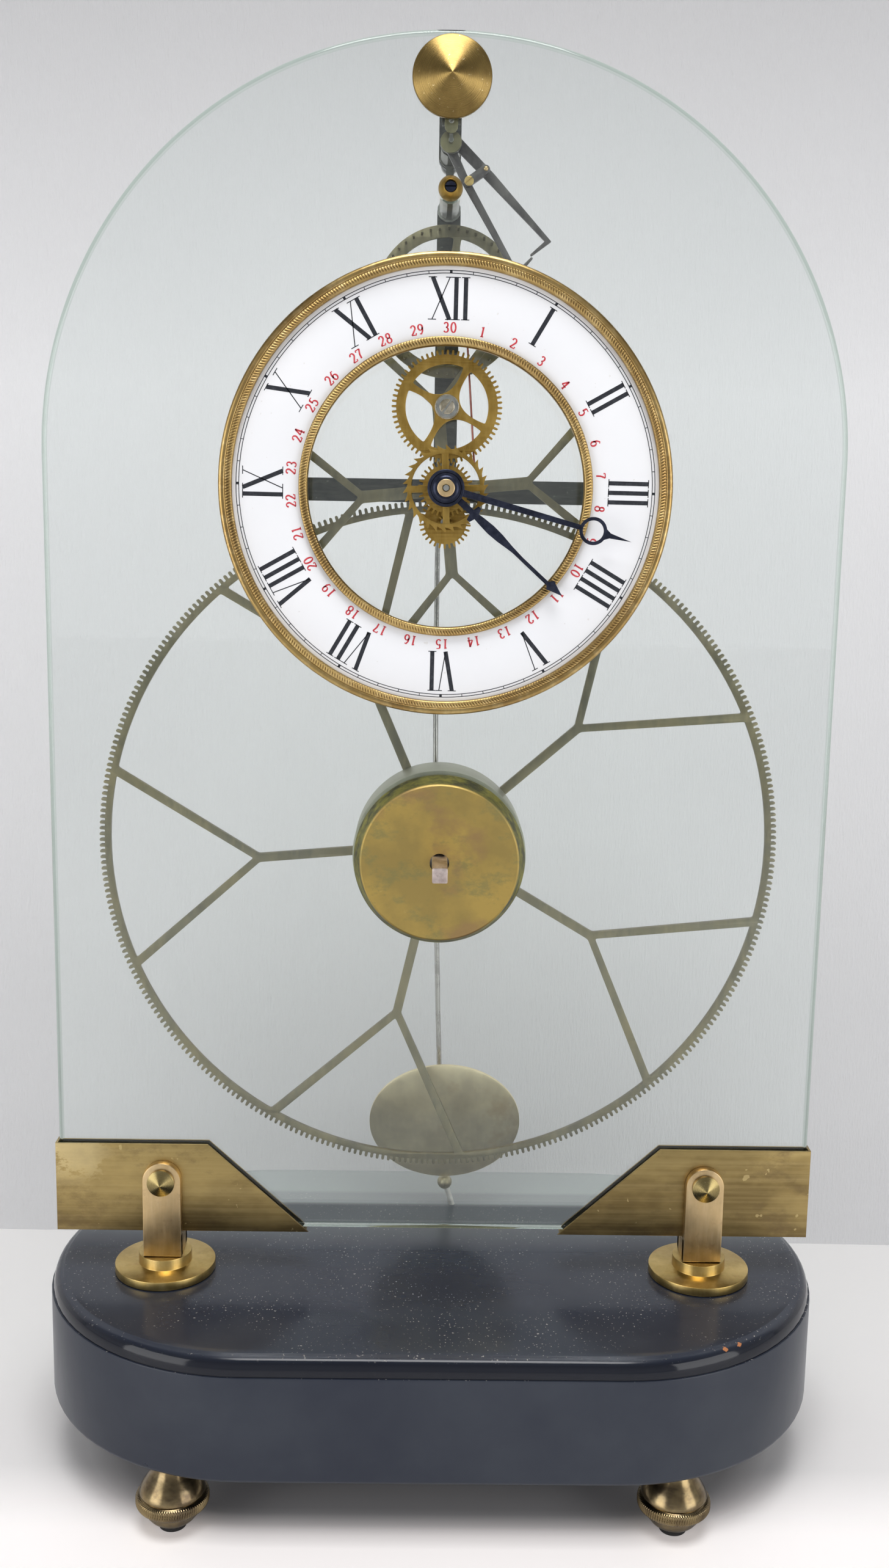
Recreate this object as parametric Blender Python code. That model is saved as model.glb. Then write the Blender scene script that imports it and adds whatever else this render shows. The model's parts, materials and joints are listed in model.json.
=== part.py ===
"""Great-wheel skeleton clock on an arched glass plate, in metres, +Z up, front towards -Y."""
import bpy
import bmesh
from math import pi, sin, cos, tan, radians, atan2, asin, sqrt
from mathutils import Vector, Matrix
from mathutils.geometry import tessellate_polygon

# Sides of the round solids
fine_sides = 40
medium_sides = 16
small_sides = 12

# Clearances
gap = 0.0003                # between pieces that touch or rest
run_gap = 0.0003            # between a shaft and its hole

# Base and feet
base_length = 0.2846
base_depth = 0.1566
base_height = 0.0449
base_ovolo_inset = 0.0044
base_ovolo_height = 0.0066
base_bottom_round = 0.0020
foot_height = 0.0248
foot_radius = 0.0129
foot_spacing_x = 0.1728
foot_spacing_y = 0.1264
foot_shift = -0.0022

# Glass plate and how far its front face stands in front of the base's centre
glass_width = 0.2715
glass_thickness = 0.0040
glass_forward = 0.0175

# Posts, flanges and shoes
post_spacing = 0.1964
post_width = 0.0138
post_depth = 0.0138
post_height = 0.0357
post_slot_floor = 0.0080
flange_radius = 0.0182
flange_thickness = 0.0032
collar_radius = 0.0096
collar_height = 0.0040
bolt_cap_radius = 0.0049
bolt_cap_rim = 0.0012
bolt_cap_height = 0.0028
bolt_radius = 0.0021
bolt_nut_thickness = 0.0024
shoe_height = 0.0333
shoe_sheet = 0.0008
shoe_top_length = 0.0549
shoe_bottom_length = 0.0914

# Dial
bezel_outer_radius = 0.0752
bezel_width = 0.0046
bezel_wall = 0.0022
bezel_thickness = 0.0020
dial_band = 0.0220
plate_thickness = 0.0015
inner_bezel_width = 0.0029
inner_bezel_thickness = 0.0016
dial_stand_off = 0.0082
dial_foot_radius = 0.0025
dial_drop = 0.0096

# Wheels: modules in metres, teeth in counts
great_module = 0.0006845
great_teeth = 360
centre_pinion_leaves = 12
train_module = 0.000795
centre_teeth = 150
escape_pinion_leaves = 10
motion_module = 0.000555
cannon_leaves = 10
minute_wheel_teeth = 30
minute_pinion_leaves = 8
hour_wheel_teeth = 32
day_wheel_teeth = 64
date_teeth = 30
escape_pins = 48

# Tooth shapes: widths over the pitch, heights over the module, and where the first tooth stands
tip_share = 1.1
root_depth_share = 1.3
wheel_root_share = 1.0
leaf_root_share = 0.46
leaf_tip_share = 0.16
leaf_tip_rise = 0.8
leaf_root_drop = 1.55
motion_tip_share = 0.85
motion_root_share = 1.0
motion_point_share = 0.0
centre_pinion_turn = pi + pi / centre_pinion_leaves
cannon_turn = pi + pi / cannon_leaves
minute_pinion_turn = 0.0
escape_pinion_turn = pi + pi / escape_pinion_leaves
day_wheel_turn = 0.0

wheel_clearance = 0.0320    # between the great wheel and the base
great_rim = 0.0024
great_fork_radius = 0.0660
great_spoke_width = 0.0032
great_arm_width = 0.0026
great_arm_half_angle = radians(17.4)
great_spoke_turn = radians(48.8)
great_spokes = 5
great_thickness = 0.0020

centre_rim = 0.0026
centre_fork_radius = 0.0283
centre_spoke_width = 0.0042
centre_arm_width = 0.0024
centre_arm_half_angle = radians(22.9)
centre_spoke_turn = radians(-5.7)
centre_spokes = 4
centre_hub_radius = 0.0062
centre_thickness = 0.0015

straight_spokes = 4
motion_thickness = 0.0011
day_rim_inner_radius = 0.01375
day_hub_radius = 0.0042
day_spoke_width = 0.0026
day_spoke_turn = radians(28)
day_head_share = 0.88
date_tip_radius = 0.0144
date_root_radius = 0.0128
date_rim_inner_radius = 0.0119
date_spoke_width = 0.0016
date_thickness = 0.0009
detent_radius = 0.00035
detent_foot_shares = (0.44, 3.38)    # the jumper wire's ends, as shares of the date wheel's radius
detent_end_shares = (0.66, 0.55)

escape_outer_radius = 0.0254
escape_inner_radius = 0.0212
escape_pin_circle = 0.0240
escape_pin_radius = 0.00035
escape_pin_length = 0.0052
escape_spoke_width = 0.0026
escape_spoke_turn = radians(8)
escape_hub_radius = 0.0044
escape_thickness = 0.0014

# Depths behind the glass's front face, negative in front of it
minute_wheel_layer = -0.0028
hour_wheel_layer = -0.0045
date_wheel_layer = -0.0075
date_hand_layer = -0.0128
hour_hand_layer = -0.0141
minute_hand_layer = -0.0158
centre_wheel_layer = 0.0140
escape_wheel_layer = 0.0216
great_wheel_layer = 0.0255
frame_layer = 0.0330
pendulum_layer = 0.0420
short_pallet_layer = 0.0106
detent_layer = -0.0020

# Hands
hand_thickness = 0.0006
hand_boss_radius = 0.0061
minute_hand_reach = 0.0616
minute_ring_centre = 0.0495
minute_ring_radius = 0.0045
minute_ring_band = 0.0011
minute_bar_width = 0.0023
hour_hand_reach = 0.0526
date_hand_reach = 0.0480
date_hand_width = 0.0008
minute_tip_share = 0.30
hour_boss_share = 0.9
date_boss_share = 0.8
minute_hand_angle = radians(105.0)
hour_hand_angle = radians(131.4)
date_hand_angle = radians(132.0)
hand_nut_radius = 0.0029
hand_nut_length = 0.0016
# Distance along the hour hand and half width, as shares of its reach and of the boss's radius
hour_hand_shares = ((0.15, 0.19), (0.245, 0.19), (0.25, 0.48), (0.28, 0.48), (0.285, 0.17), (0.33, 0.19),
                    (0.44, 0.235), (0.52, 0.19), (0.66, 0.08), (0.90, 0.065), (0.945, 0.22))

# Arbors and pipes, each outside the one before it
arbor_radius = 0.0010
pipe_wall = 0.0004
pivot_radius = 0.0006

# Barrel, winding work and front cover
barrel_radius = 0.0297
barrel_wall = 0.0012
barrel_front = 0.0052
bush_radius = 0.0046
bush_flange_radius = 0.0095
bush_flange_thickness = 0.0012
winding_arbor_radius = 0.0022
winding_square = 0.0045
winding_square_length = 0.0150
winding_core_radius = 0.0065
winding_collar_radius = 0.0062
winding_collar_thickness = 0.0026
spring_turns = 5
spring_strip = 0.0005
cover_radius = 0.0300
cover_face_radius = 0.0276
cover_depth = 0.0073
cover_wall = 0.0012
cover_hole_radius = 0.0034
ratchet_teeth = 24
ratchet_tip_radius = 0.0125
ratchet_root_radius = 0.0112
ratchet_thickness = 0.0014
click_length = 0.0080
click_width = 0.0030
click_pivot_radius = 0.0011
click_spring_radius = 0.00035
click_lift_room = 0.0016
click_rise_share = 0.1
click_nose_shares = (-0.2, 0.5)

# Steel frame and pillars
frame_bar_width = 0.0081
frame_thickness = 0.0030
pillar_radius = 0.0034
pillar_flange_radius = 0.0041
pillar_flange_thickness = 0.0015
pillar_tail_radius = 0.0018
pillar_spigot_radius = 0.0015
pillar_top_rise = 0.0955
pillar_room = 0.0012
ball_radius = 0.0041
ball_length = 0.0086

# Pallets, cocks and pendulum
pallet_rise = 0.0489
stud_rise = 0.0181
stud_radius = 0.0024
cone_radius = 0.0129
cone_rim = 0.0010
cone_height = 0.0050
front_cock_layer = 0.0048
front_cock_thickness = 0.0018
rear_cock_layer = 0.0310
rear_cock_thickness = 0.0028
cock_width = 0.0076
cock_foot_share = 0.8
hub_radius = 0.0037
hub_barrel_radius = 0.0033
hub_disc_thickness = 0.0012
hub_disc_layer = 0.0086
hub_length = 0.0205
pallet_arm_thickness = 0.0016
long_pallet_width = 0.0034
short_pallet_width = 0.0028
link_width = 0.0026
pallet_eye_radius = 0.0048
pallet_eye_share = 0.8
arm_end_share = 0.42
screw_share = 0.62
# Points along the pallet arms and their link from the arbor, as shares of its height over the escape arbor
long_pallet_shares = ((0.030, 0.080), (0.675, -0.604), (0.540, -0.742))
short_pallet_shares = ((-0.012, -0.015), (0.393, -0.720), (0.425, -0.785))
link_shares = ((0.116, -0.246), (0.224, -0.156))
crutch_width = 0.0027
crutch_length = 0.0115
crutch_prong = 0.0012
suspension_pin_radius = 0.0012
rod_radius = 0.0009
bob_radius = 0.0293
bob_thickness = 0.0064
bob_edge = 0.0014
bob_shift = 0.0042
bob_tilt = radians(22)
tail_radius = 0.0008
tail_length = 0.0130
tail_lean = radians(14)
rating_nut_radius = 0.0029
pendulum_eye_radius = 0.0030
bob_clearance = 0.0127
rod_bend_shares = (-0.0054, -0.504)    # where the rod bends and ends, as shares of the pendulum's length
rod_foot_share = 0.0079
lens_shares = (0.6, 0.8)

# Heights and centres that follow
base_bottom = foot_height + gap
base_top = base_bottom + base_height
flange_bottom = base_top + gap
collar_top = flange_bottom + flange_thickness + collar_height
post_foot = collar_top + gap
shoe_bottom = post_foot + post_slot_floor + gap
glass_bottom = shoe_bottom + shoe_sheet + gap
glass_y = -glass_forward
great_pitch_radius = great_module * great_teeth / 2
great_z = base_top + wheel_clearance + great_pitch_radius + tip_share * great_module
arbor_z = great_z + great_module * (great_teeth + centre_pinion_leaves) / 2
glass_side_height = arbor_z + dial_drop - glass_bottom
escape_z = arbor_z + train_module * (centre_teeth + escape_pinion_leaves) / 2
minute_z = arbor_z - motion_module * (cannon_leaves + minute_wheel_teeth) / 2
day_z = arbor_z + motion_module * (hour_wheel_teeth + day_wheel_teeth) / 2
pallet_z = escape_z + pallet_rise
stud_z = pallet_z + stud_rise
pillar_z = arbor_z + pillar_top_rise
bob_z = base_top + bob_clearance + bob_radius
pendulum_length = pallet_z - bob_z
centre_tip_radius = train_module * (centre_teeth / 2 + tip_share)
side_pillar_offset = centre_tip_radius + pillar_flange_radius + pillar_room
frame_half_span = side_pillar_offset + pillar_flange_radius
bezel_inner_radius = bezel_outer_radius - bezel_width
plate_outer_radius = bezel_outer_radius - bezel_wall
inner_bezel_outer_radius = bezel_inner_radius - dial_band
inner_bezel_inner_radius = inner_bezel_outer_radius - inner_bezel_width
dial_foot_circle = (bezel_inner_radius + inner_bezel_outer_radius) / 2
cannon_hole = arbor_radius + run_gap / 2
cannon_outer = cannon_hole + pipe_wall
hour_hole = cannon_outer + run_gap / 2
hour_outer = hour_hole + pipe_wall
date_hole = hour_outer + run_gap / 2
date_outer = date_hole + pipe_wall


def make_material(name, colour, roughness, metallic, transmission=0.0):
    found = bpy.data.materials.new(name)
    found.use_nodes = True
    shader = found.node_tree.nodes["Principled BSDF"]
    shader.inputs["Base Color"].default_value = (*colour, 1.0)
    shader.inputs["Roughness"].default_value = roughness
    shader.inputs["Metallic"].default_value = metallic
    shader.inputs["Transmission Weight"].default_value = transmission
    return found


def finish_object(name, bm, material, place=(0, 0, 0), sharp=radians(35)):
    """Turn a bmesh whose points are relative to place into a named object."""
    bmesh.ops.recalc_face_normals(bm, faces=bm.faces)
    mesh = bpy.data.meshes.new(name)
    bm.to_mesh(mesh)
    bm.free()
    mesh.materials.append(material)
    mesh.shade_smooth()
    mesh.set_sharp_from_angle(angle=sharp)
    made = bpy.data.objects.new(name, mesh)
    made.location = place
    bpy.context.scene.collection.objects.link(made)
    return made


def plate_mesh(loops, front, back):
    """A flat plate across Y: the first loop of (x, z) points is its outline, the others its holes."""
    bm = bmesh.new()
    flat = [Vector((x, z, 0)) for loop in loops for x, z in loop]
    triangles = tessellate_polygon([[Vector((x, z, 0)) for x, z in loop] for loop in loops])
    front_points = [bm.verts.new((p.x, front, p.y)) for p in flat]
    back_points = [bm.verts.new((p.x, back, p.y)) for p in flat]
    for a, b, c in triangles:
        bm.faces.new((front_points[a], front_points[b], front_points[c]))
        bm.faces.new((back_points[c], back_points[b], back_points[a]))
    start = 0
    for loop in loops:
        count = len(loop)
        for i in range(count):
            j = (i + 1) % count
            bm.faces.new((front_points[start + i], front_points[start + j],
                          back_points[start + j], back_points[start + i]))
        start += count
    return bm


def turned_mesh(profile, sides, axis="Y"):
    """Turn a closed profile of (radius, along) points round an axis; a radius of 0 makes a pole."""
    bm = bmesh.new()
    rings = []
    for radius, along in profile:
        steps = 1 if radius == 0 else sides
        ring = []
        for k in range(steps):
            a = 2 * pi * (k + 0.5) / sides
            u, v = radius * cos(a), radius * sin(a)
            ring.append(bm.verts.new((u, along, v) if axis == "Y" else (u, v, along)))
        rings.append(ring)
    for i, ring in enumerate(rings):
        after = rings[(i + 1) % len(rings)]
        for k in range(sides):
            corners = [ring[k % len(ring)], ring[(k + 1) % sides % len(ring)],
                       after[(k + 1) % sides % len(after)], after[k % len(after)]]
            corners = list(dict.fromkeys(corners))
            if len(corners) > 2:
                bm.faces.new(corners)
    return bm


def circle(radius, count, centre=(0, 0), turn=0.0):
    return [(centre[0] + radius * sin(turn + 2 * pi * k / count),
             centre[1] + radius * cos(turn + 2 * pi * k / count)) for k in range(count)]


def arc(radius, start, end, count, centre=(0, 0)):
    """Points on a circle between two clockwise-from-top angles."""
    return [(centre[0] + radius * sin(start + (end - start) * k / (count - 1)),
             centre[1] + radius * cos(start + (end - start) * k / (count - 1))) for k in range(count)]


def polar(radius, angle):
    return (radius * sin(angle), radius * cos(angle))


def turn_point(point, angle):
    x, z = point
    return (x * cos(angle) + z * sin(angle), z * cos(angle) - x * sin(angle))


def plate(name, material, loops, front, back, place, sharp=radians(35)):
    return finish_object(name, plate_mesh(loops, front, back), material, place, sharp)


def turned(name, material, profile, sides, place, axis="Y"):
    return finish_object(name, turned_mesh(profile, sides, axis), material, place)


def combine(target, tool, operation="UNION"):
    """Apply one exact Boolean to the target and drop the tool."""
    modifier = target.modifiers.new(operation, "BOOLEAN")
    modifier.operation = operation
    modifier.solver = "EXACT"
    modifier.object = tool
    graph = bpy.context.evaluated_depsgraph_get()
    result = bpy.data.meshes.new_from_object(target.evaluated_get(graph))
    target.modifiers.clear()
    old = target.data
    target.data = result
    result.name = target.name
    bpy.data.meshes.remove(old)
    bpy.data.objects.remove(tool)
    return target


def box_object(name, material, low, high, place=(0, 0, 0)):
    bm = bmesh.new()
    bmesh.ops.create_cube(bm, size=1.0)
    for v in bm.verts:
        v.co = Vector([low[i] if v.co[i] < 0 else high[i] for i in range(3)])
    return finish_object(name, bm, material, place)


# Gear outlines

def pointed_teeth(teeth, tip, root, root_share, tip_share, turn=0.0):
    """A gear's outline; the shares are the tooth's root and tip widths over its pitch."""
    points = []
    for k in range(teeth):
        middle = turn + 2 * pi * k / teeth
        half_root = pi / teeth * root_share
        half_tip = pi / teeth * tip_share
        points.append(polar(root, middle - half_root))
        if tip_share:
            points.append(polar(tip, middle - half_tip))
            points.append(polar(tip, middle + half_tip))
        else:
            points.append(polar(tip, middle))
        if root_share < 1:
            points.append(polar(root, middle + half_root))
    return points


def saw_teeth(teeth, tip, root, turn=0.0):
    """A ratchet's outline with its steep faces on the counter-clockwise side."""
    points = []
    for k in range(teeth):
        start = turn + 2 * pi * k / teeth
        points.append(polar(root, start))
        points.append(polar(tip, start))
    return points


def forked_windows(spokes, turn, hub, fork, rim, spoke_width, arm_width, half_angle, steps):
    """The openings of a wheel whose spokes fork into two arms before the rim."""
    windows = []
    pitch = 2 * pi / spokes
    for k in range(spokes):
        spoke = turn + pitch * k
        end = polar(rim, half_angle)
        lean = atan2(end[0], end[1] - fork)
        inner_z = fork + arm_width / 2 / sin(lean)
        rim_turn = asin(min(0.9, arm_width / 2 / cos(lean) / rim))
        fork_window = [(0, inner_z)] + arc(rim, half_angle - rim_turn, rim_turn - half_angle, steps)
        windows.append([turn_point(p, spoke) for p in fork_window])
        crotch_z = fork - (arm_width / 2 / sin(lean)) + (spoke_width / 2) / tan(lean)
        crotch = (spoke_width / 2, max(hub, crotch_z))
        near_hub = asin(spoke_width / 2 / hub)
        following = spoke + pitch
        side = [turn_point(crotch, spoke)]
        side += arc(rim, spoke + half_angle + rim_turn, following - half_angle - rim_turn, steps + 2)
        side += [turn_point((-crotch[0], crotch[1]), following)]
        side += arc(hub, following - near_hub, spoke + near_hub, 4)
        windows.append(side)
    return windows


def straight_windows(spokes, turn, hub, rim, spoke_width, steps):
    """The openings of a wheel with plain straight spokes."""
    windows = []
    pitch = 2 * pi / spokes
    outer = asin(spoke_width / 2 / rim)
    inner = asin(spoke_width / 2 / hub)
    for k in range(spokes):
        start = turn + pitch * k
        points = arc(rim, start + outer, start + pitch - outer, steps)
        points += arc(hub, start + pitch - inner, start + inner, max(3, steps // 2))
        windows.append(points)
    return windows


# Base, feet, posts and shoes

def stadium(half_length, half_depth, steps):
    right = [(half_length - half_depth + half_depth * cos(a), half_depth * sin(a))
             for a in [pi * (k / (steps - 1) - 0.5) for k in range(steps)]]
    return right + [(-x, -y) for x, y in right]


def make_base(lacquer):
    bm = bmesh.new()
    ovolo = [(base_ovolo_inset * (1 - sin(a)), base_height - base_ovolo_height * (1 - cos(a)))
             for a in [radians(90) * (1 - k / 4) for k in range(5)]]
    levels = [(base_bottom_round, 0), (0, base_bottom_round)] + ovolo
    rings = []
    for inset, height in levels:
        outline = stadium(base_length / 2 - inset, base_depth / 2 - inset, 14)
        rings.append([bm.verts.new((x, y, base_bottom + height)) for x, y in outline])
    for low, high in zip(rings, rings[1:]):
        for k in range(len(low)):
            j = (k + 1) % len(low)
            bm.faces.new((low[k], low[j], high[j], high[k]))
    bm.faces.new(rings[0])
    bm.faces.new(rings[-1])
    finish_object("wood_base", bm, lacquer)


def make_feet(brass):
    outline_shares = ((0.00, 0.00), (0.32, 0.00), (0.92, 0.17), (1.00, 0.20), (1.00, 0.33), (0.90, 0.42),
                      (0.80, 0.58), (0.46, 0.86), (0.44, 1.00), (0.00, 1.00))
    profile = [(foot_radius * r, foot_height * z) for r, z in outline_shares]
    for side_y, place_y in (("front", -1), ("rear", 1)):
        for side_x, place_x in (("left", -1), ("right", 1)):
            place = (place_x * foot_spacing_x / 2 + foot_shift, place_y * foot_spacing_y / 2, 0)
            turned("foot_" + side_y + "_" + side_x, brass, profile, small_sides, place, "Z")


def make_posts(polished, bronze):
    centre_y = glass_y + glass_thickness / 2
    slot = glass_thickness + 2 * (shoe_sheet + gap) + 2 * gap
    top = post_height - post_width / 2
    for side, sign in (("left", -1), ("right", 1)):
        x = sign * post_spacing / 2
        flange = [(0, 0), (flange_radius, 0), (flange_radius, flange_thickness),
                  (collar_radius, flange_thickness), (collar_radius, flange_thickness + collar_height),
                  (0, flange_thickness + collar_height)]
        turned("flange_" + side, polished, flange, 2 * small_sides, (x, centre_y, flange_bottom), "Z")
        outline = [(-post_width / 2, 0)] + arc(post_width / 2, -pi / 2, pi / 2, 9, (0, top))
        outline.append((post_width / 2, 0))
        bore = circle(bolt_radius + run_gap, small_sides, (0, top))
        post = plate("post_" + side, bronze, [outline, bore], -post_depth / 2, post_depth / 2,
                     (x, centre_y, post_foot))
        slot_cutter = box_object("slot_cutter", bronze, (-post_width, -slot / 2, post_slot_floor),
                                 (post_width, slot / 2, 2 * post_height), (x, centre_y, post_foot))
        combine(post, slot_cutter, "DIFFERENCE")
        front = -post_depth / 2 - gap
        back = post_depth / 2 + gap
        tail = back + bolt_nut_thickness
        bolt = [(0, front - bolt_cap_rim - bolt_cap_height), (bolt_cap_radius, front - bolt_cap_rim),
                (bolt_cap_radius, front), (bolt_radius, front), (bolt_radius, back),
                (bolt_cap_radius, back), (bolt_cap_radius, tail), (0, tail + bolt_cap_height)]
        turned("post_bolt_" + side, polished, bolt, medium_sides, (x, centre_y, post_foot + top))


def make_shoes(brass):
    inner = shoe_sheet
    outer_x = glass_width / 2 + gap + shoe_sheet
    front = glass_y - gap - shoe_sheet
    back = glass_y + glass_thickness + gap + shoe_sheet
    bolt_height = post_foot + post_height - post_width / 2 - shoe_bottom
    for side, sign in (("left", -1), ("right", 1)):
        outline = [(0, 0), (shoe_bottom_length, 0), (shoe_top_length, shoe_height), (0, shoe_height)]
        outline = [(-sign * x, z) for x, z in outline]
        shoe = plate("shoe_" + side, brass, [outline], front, back, (sign * outer_x, 0, shoe_bottom))
        far = 2 * shoe_bottom_length
        low_x, high_x = sorted((-sign * inner, -sign * far))
        hollow = box_object("shoe_hollow", brass, (low_x, front + shoe_sheet, inner),
                            (high_x, back - shoe_sheet, 2 * shoe_height), (sign * outer_x, 0, shoe_bottom))
        combine(shoe, hollow, "DIFFERENCE")
        bolt_x = sign * (post_spacing / 2 - outer_x)
        bore = turned("shoe_bore", brass, [(0, front - gap), (bolt_radius + run_gap, front - gap),
                                           (bolt_radius + run_gap, back + gap), (0, back + gap)],
                      small_sides, (sign * outer_x + bolt_x, 0, shoe_bottom + bolt_height))
        combine(shoe, bore, "DIFFERENCE")


# Glass plate and dial

def make_glass(glass):
    half = glass_width / 2
    outline = [(-half, 0)] + arc(half, -pi / 2, pi / 2, 37, (0, glass_side_height)) + [(half, 0)]
    bolt_z = post_foot + post_height - post_width / 2

    def hole(radius, x, z, count=8):
        return circle(radius + run_gap, count, (x, z - glass_bottom))
    holes = [hole(bolt_radius, side * post_spacing / 2, bolt_z) for side in (-1, 1)]
    holes.append(hole(arbor_radius, 0, arbor_z))
    holes.append(hole(pivot_radius, 0, escape_z))
    holes.append(hole(bush_radius, 0, great_z, medium_sides))
    holes.append(hole(stud_radius, 0, stud_z, small_sides))
    holes.append(hole(pillar_tail_radius, 0, pillar_z))
    holes += [hole(pillar_tail_radius, side * side_pillar_offset, arbor_z) for side in (-1, 1)]
    holes.append(hole(arbor_radius, 0, minute_z))
    holes.append(hole(arbor_radius, 0, day_z))
    for x, z in dial_foot_places():
        holes.append(hole(arbor_radius, x, arbor_z + z))
    plate("glass_plate", glass, [outline] + holes, 0, glass_thickness, (0, glass_y, glass_bottom))


def dial_foot_places():
    return [polar(dial_foot_circle, radians(45) + 2 * pi * k / 3) for k in range(3)]


def ring_profile(inner_radius, outer_radius, front, back):
    return [(inner_radius, front), (outer_radius, front), (outer_radius, back), (inner_radius, back)]


def make_dial(gilt, enamel, brass):
    place = (0, glass_y, arbor_z)
    back = -dial_stand_off
    face = back - plate_thickness
    front = face - gap - bezel_thickness
    skirt = plate_outer_radius + gap
    rounding = bezel_thickness / 3
    outer = [(bezel_inner_radius, face - gap), (bezel_inner_radius, front + rounding),
             (bezel_inner_radius + rounding, front), (bezel_outer_radius - rounding, front),
             (bezel_outer_radius, front + rounding), (bezel_outer_radius, back), (skirt, back),
             (skirt, face - gap)]
    turned("outer_bezel", gilt, outer, fine_sides, place)
    plate_inner = (inner_bezel_inner_radius + inner_bezel_outer_radius) / 2
    ring = ring_profile(plate_inner, plate_outer_radius, face, back)
    turned("chapter_ring", enamel, ring, fine_sides, place)
    inner_front = face - gap - inner_bezel_thickness
    lip = plate_inner - gap
    rounding = inner_bezel_thickness / 3
    inner = [(inner_bezel_inner_radius, back), (inner_bezel_inner_radius, inner_front + rounding),
             (inner_bezel_inner_radius + rounding, inner_front),
             (inner_bezel_outer_radius - rounding, inner_front),
             (inner_bezel_outer_radius, inner_front + rounding), (inner_bezel_outer_radius, face - gap),
             (lip, face - gap), (lip, back)]
    turned("inner_bezel", gilt, inner, fine_sides, place)
    nut = glass_thickness + gap
    foot = [(0, back + gap), (dial_foot_radius, back + gap), (dial_foot_radius, -gap),
            (arbor_radius, -gap), (arbor_radius, nut), (dial_foot_radius, nut),
            (dial_foot_radius, nut + dial_foot_radius), (0, nut + dial_foot_radius)]
    for k, (x, z) in enumerate(dial_foot_places()):
        turned("dial_foot_" + str(k + 1), brass, foot, 10, (x, glass_y, arbor_z + z))


# Steel frame, pillars and cocks

def make_frame(steel, brass, grey):
    half = frame_bar_width / 2
    outline = arc(half, pi / 2, -pi / 2, 9, (0, pillar_top_rise))
    outline += [(-half, half), (-frame_half_span, half), (-frame_half_span, -half),
                (frame_half_span, -half), (frame_half_span, half), (half, half)]
    holes = [circle(pivot_radius + run_gap, 10), circle(pivot_radius + run_gap, 10, (0, escape_z - arbor_z)),
             circle(pillar_spigot_radius + run_gap, 12, (0, pillar_top_rise))]
    holes += [circle(pillar_spigot_radius + run_gap, 12, (s * side_pillar_offset, 0)) for s in (-1, 1)]
    plate("steel_frame", steel, [outline] + holes, frame_layer, frame_layer + frame_thickness,
          (0, glass_y, arbor_z))
    shank_start = glass_thickness + gap
    flange_back = frame_layer - gap
    flange_front = flange_back - pillar_flange_thickness
    spigot_end = frame_layer + frame_thickness + pillar_flange_thickness
    body = [(pillar_tail_radius, shank_start), (pillar_radius, shank_start), (pillar_radius, flange_front),
            (pillar_flange_radius, flange_front), (pillar_flange_radius, flange_back),
            (pillar_spigot_radius, flange_back), (pillar_spigot_radius, spigot_end), (0, spigot_end)]
    bore_depth = ball_length / 2
    turned("top_pillar", grey, [(0, -bore_depth), (pillar_tail_radius, -bore_depth)] + body, small_sides,
           (0, glass_y, pillar_z))
    ball = [(pillar_tail_radius + gap, -gap)]
    for k in range(7):
        a = radians(50 + 105 * k / 6)
        along = -gap - ball_length / 2 - ball_length / 2 * cos(pi - a) / cos(radians(50))
        ball.append((ball_radius * sin(a), max(-ball_length, min(-gap, along))))
    ball.append((0, ball[-1][1]))
    ball.append((0, -bore_depth - gap))
    ball.append((pillar_tail_radius + gap, -bore_depth - gap))
    turned("ball_nut", brass, ball, small_sides, (0, glass_y, pillar_z))
    nut_front = -gap - pillar_flange_thickness
    for side, sign in (("left", -1), ("right", 1)):
        nut = [(0, nut_front), (pillar_radius, nut_front), (pillar_radius, -gap), (pillar_tail_radius, -gap)]
        turned("side_pillar_" + side, grey, nut + body, small_sides,
               (sign * side_pillar_offset, glass_y, arbor_z))


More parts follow.
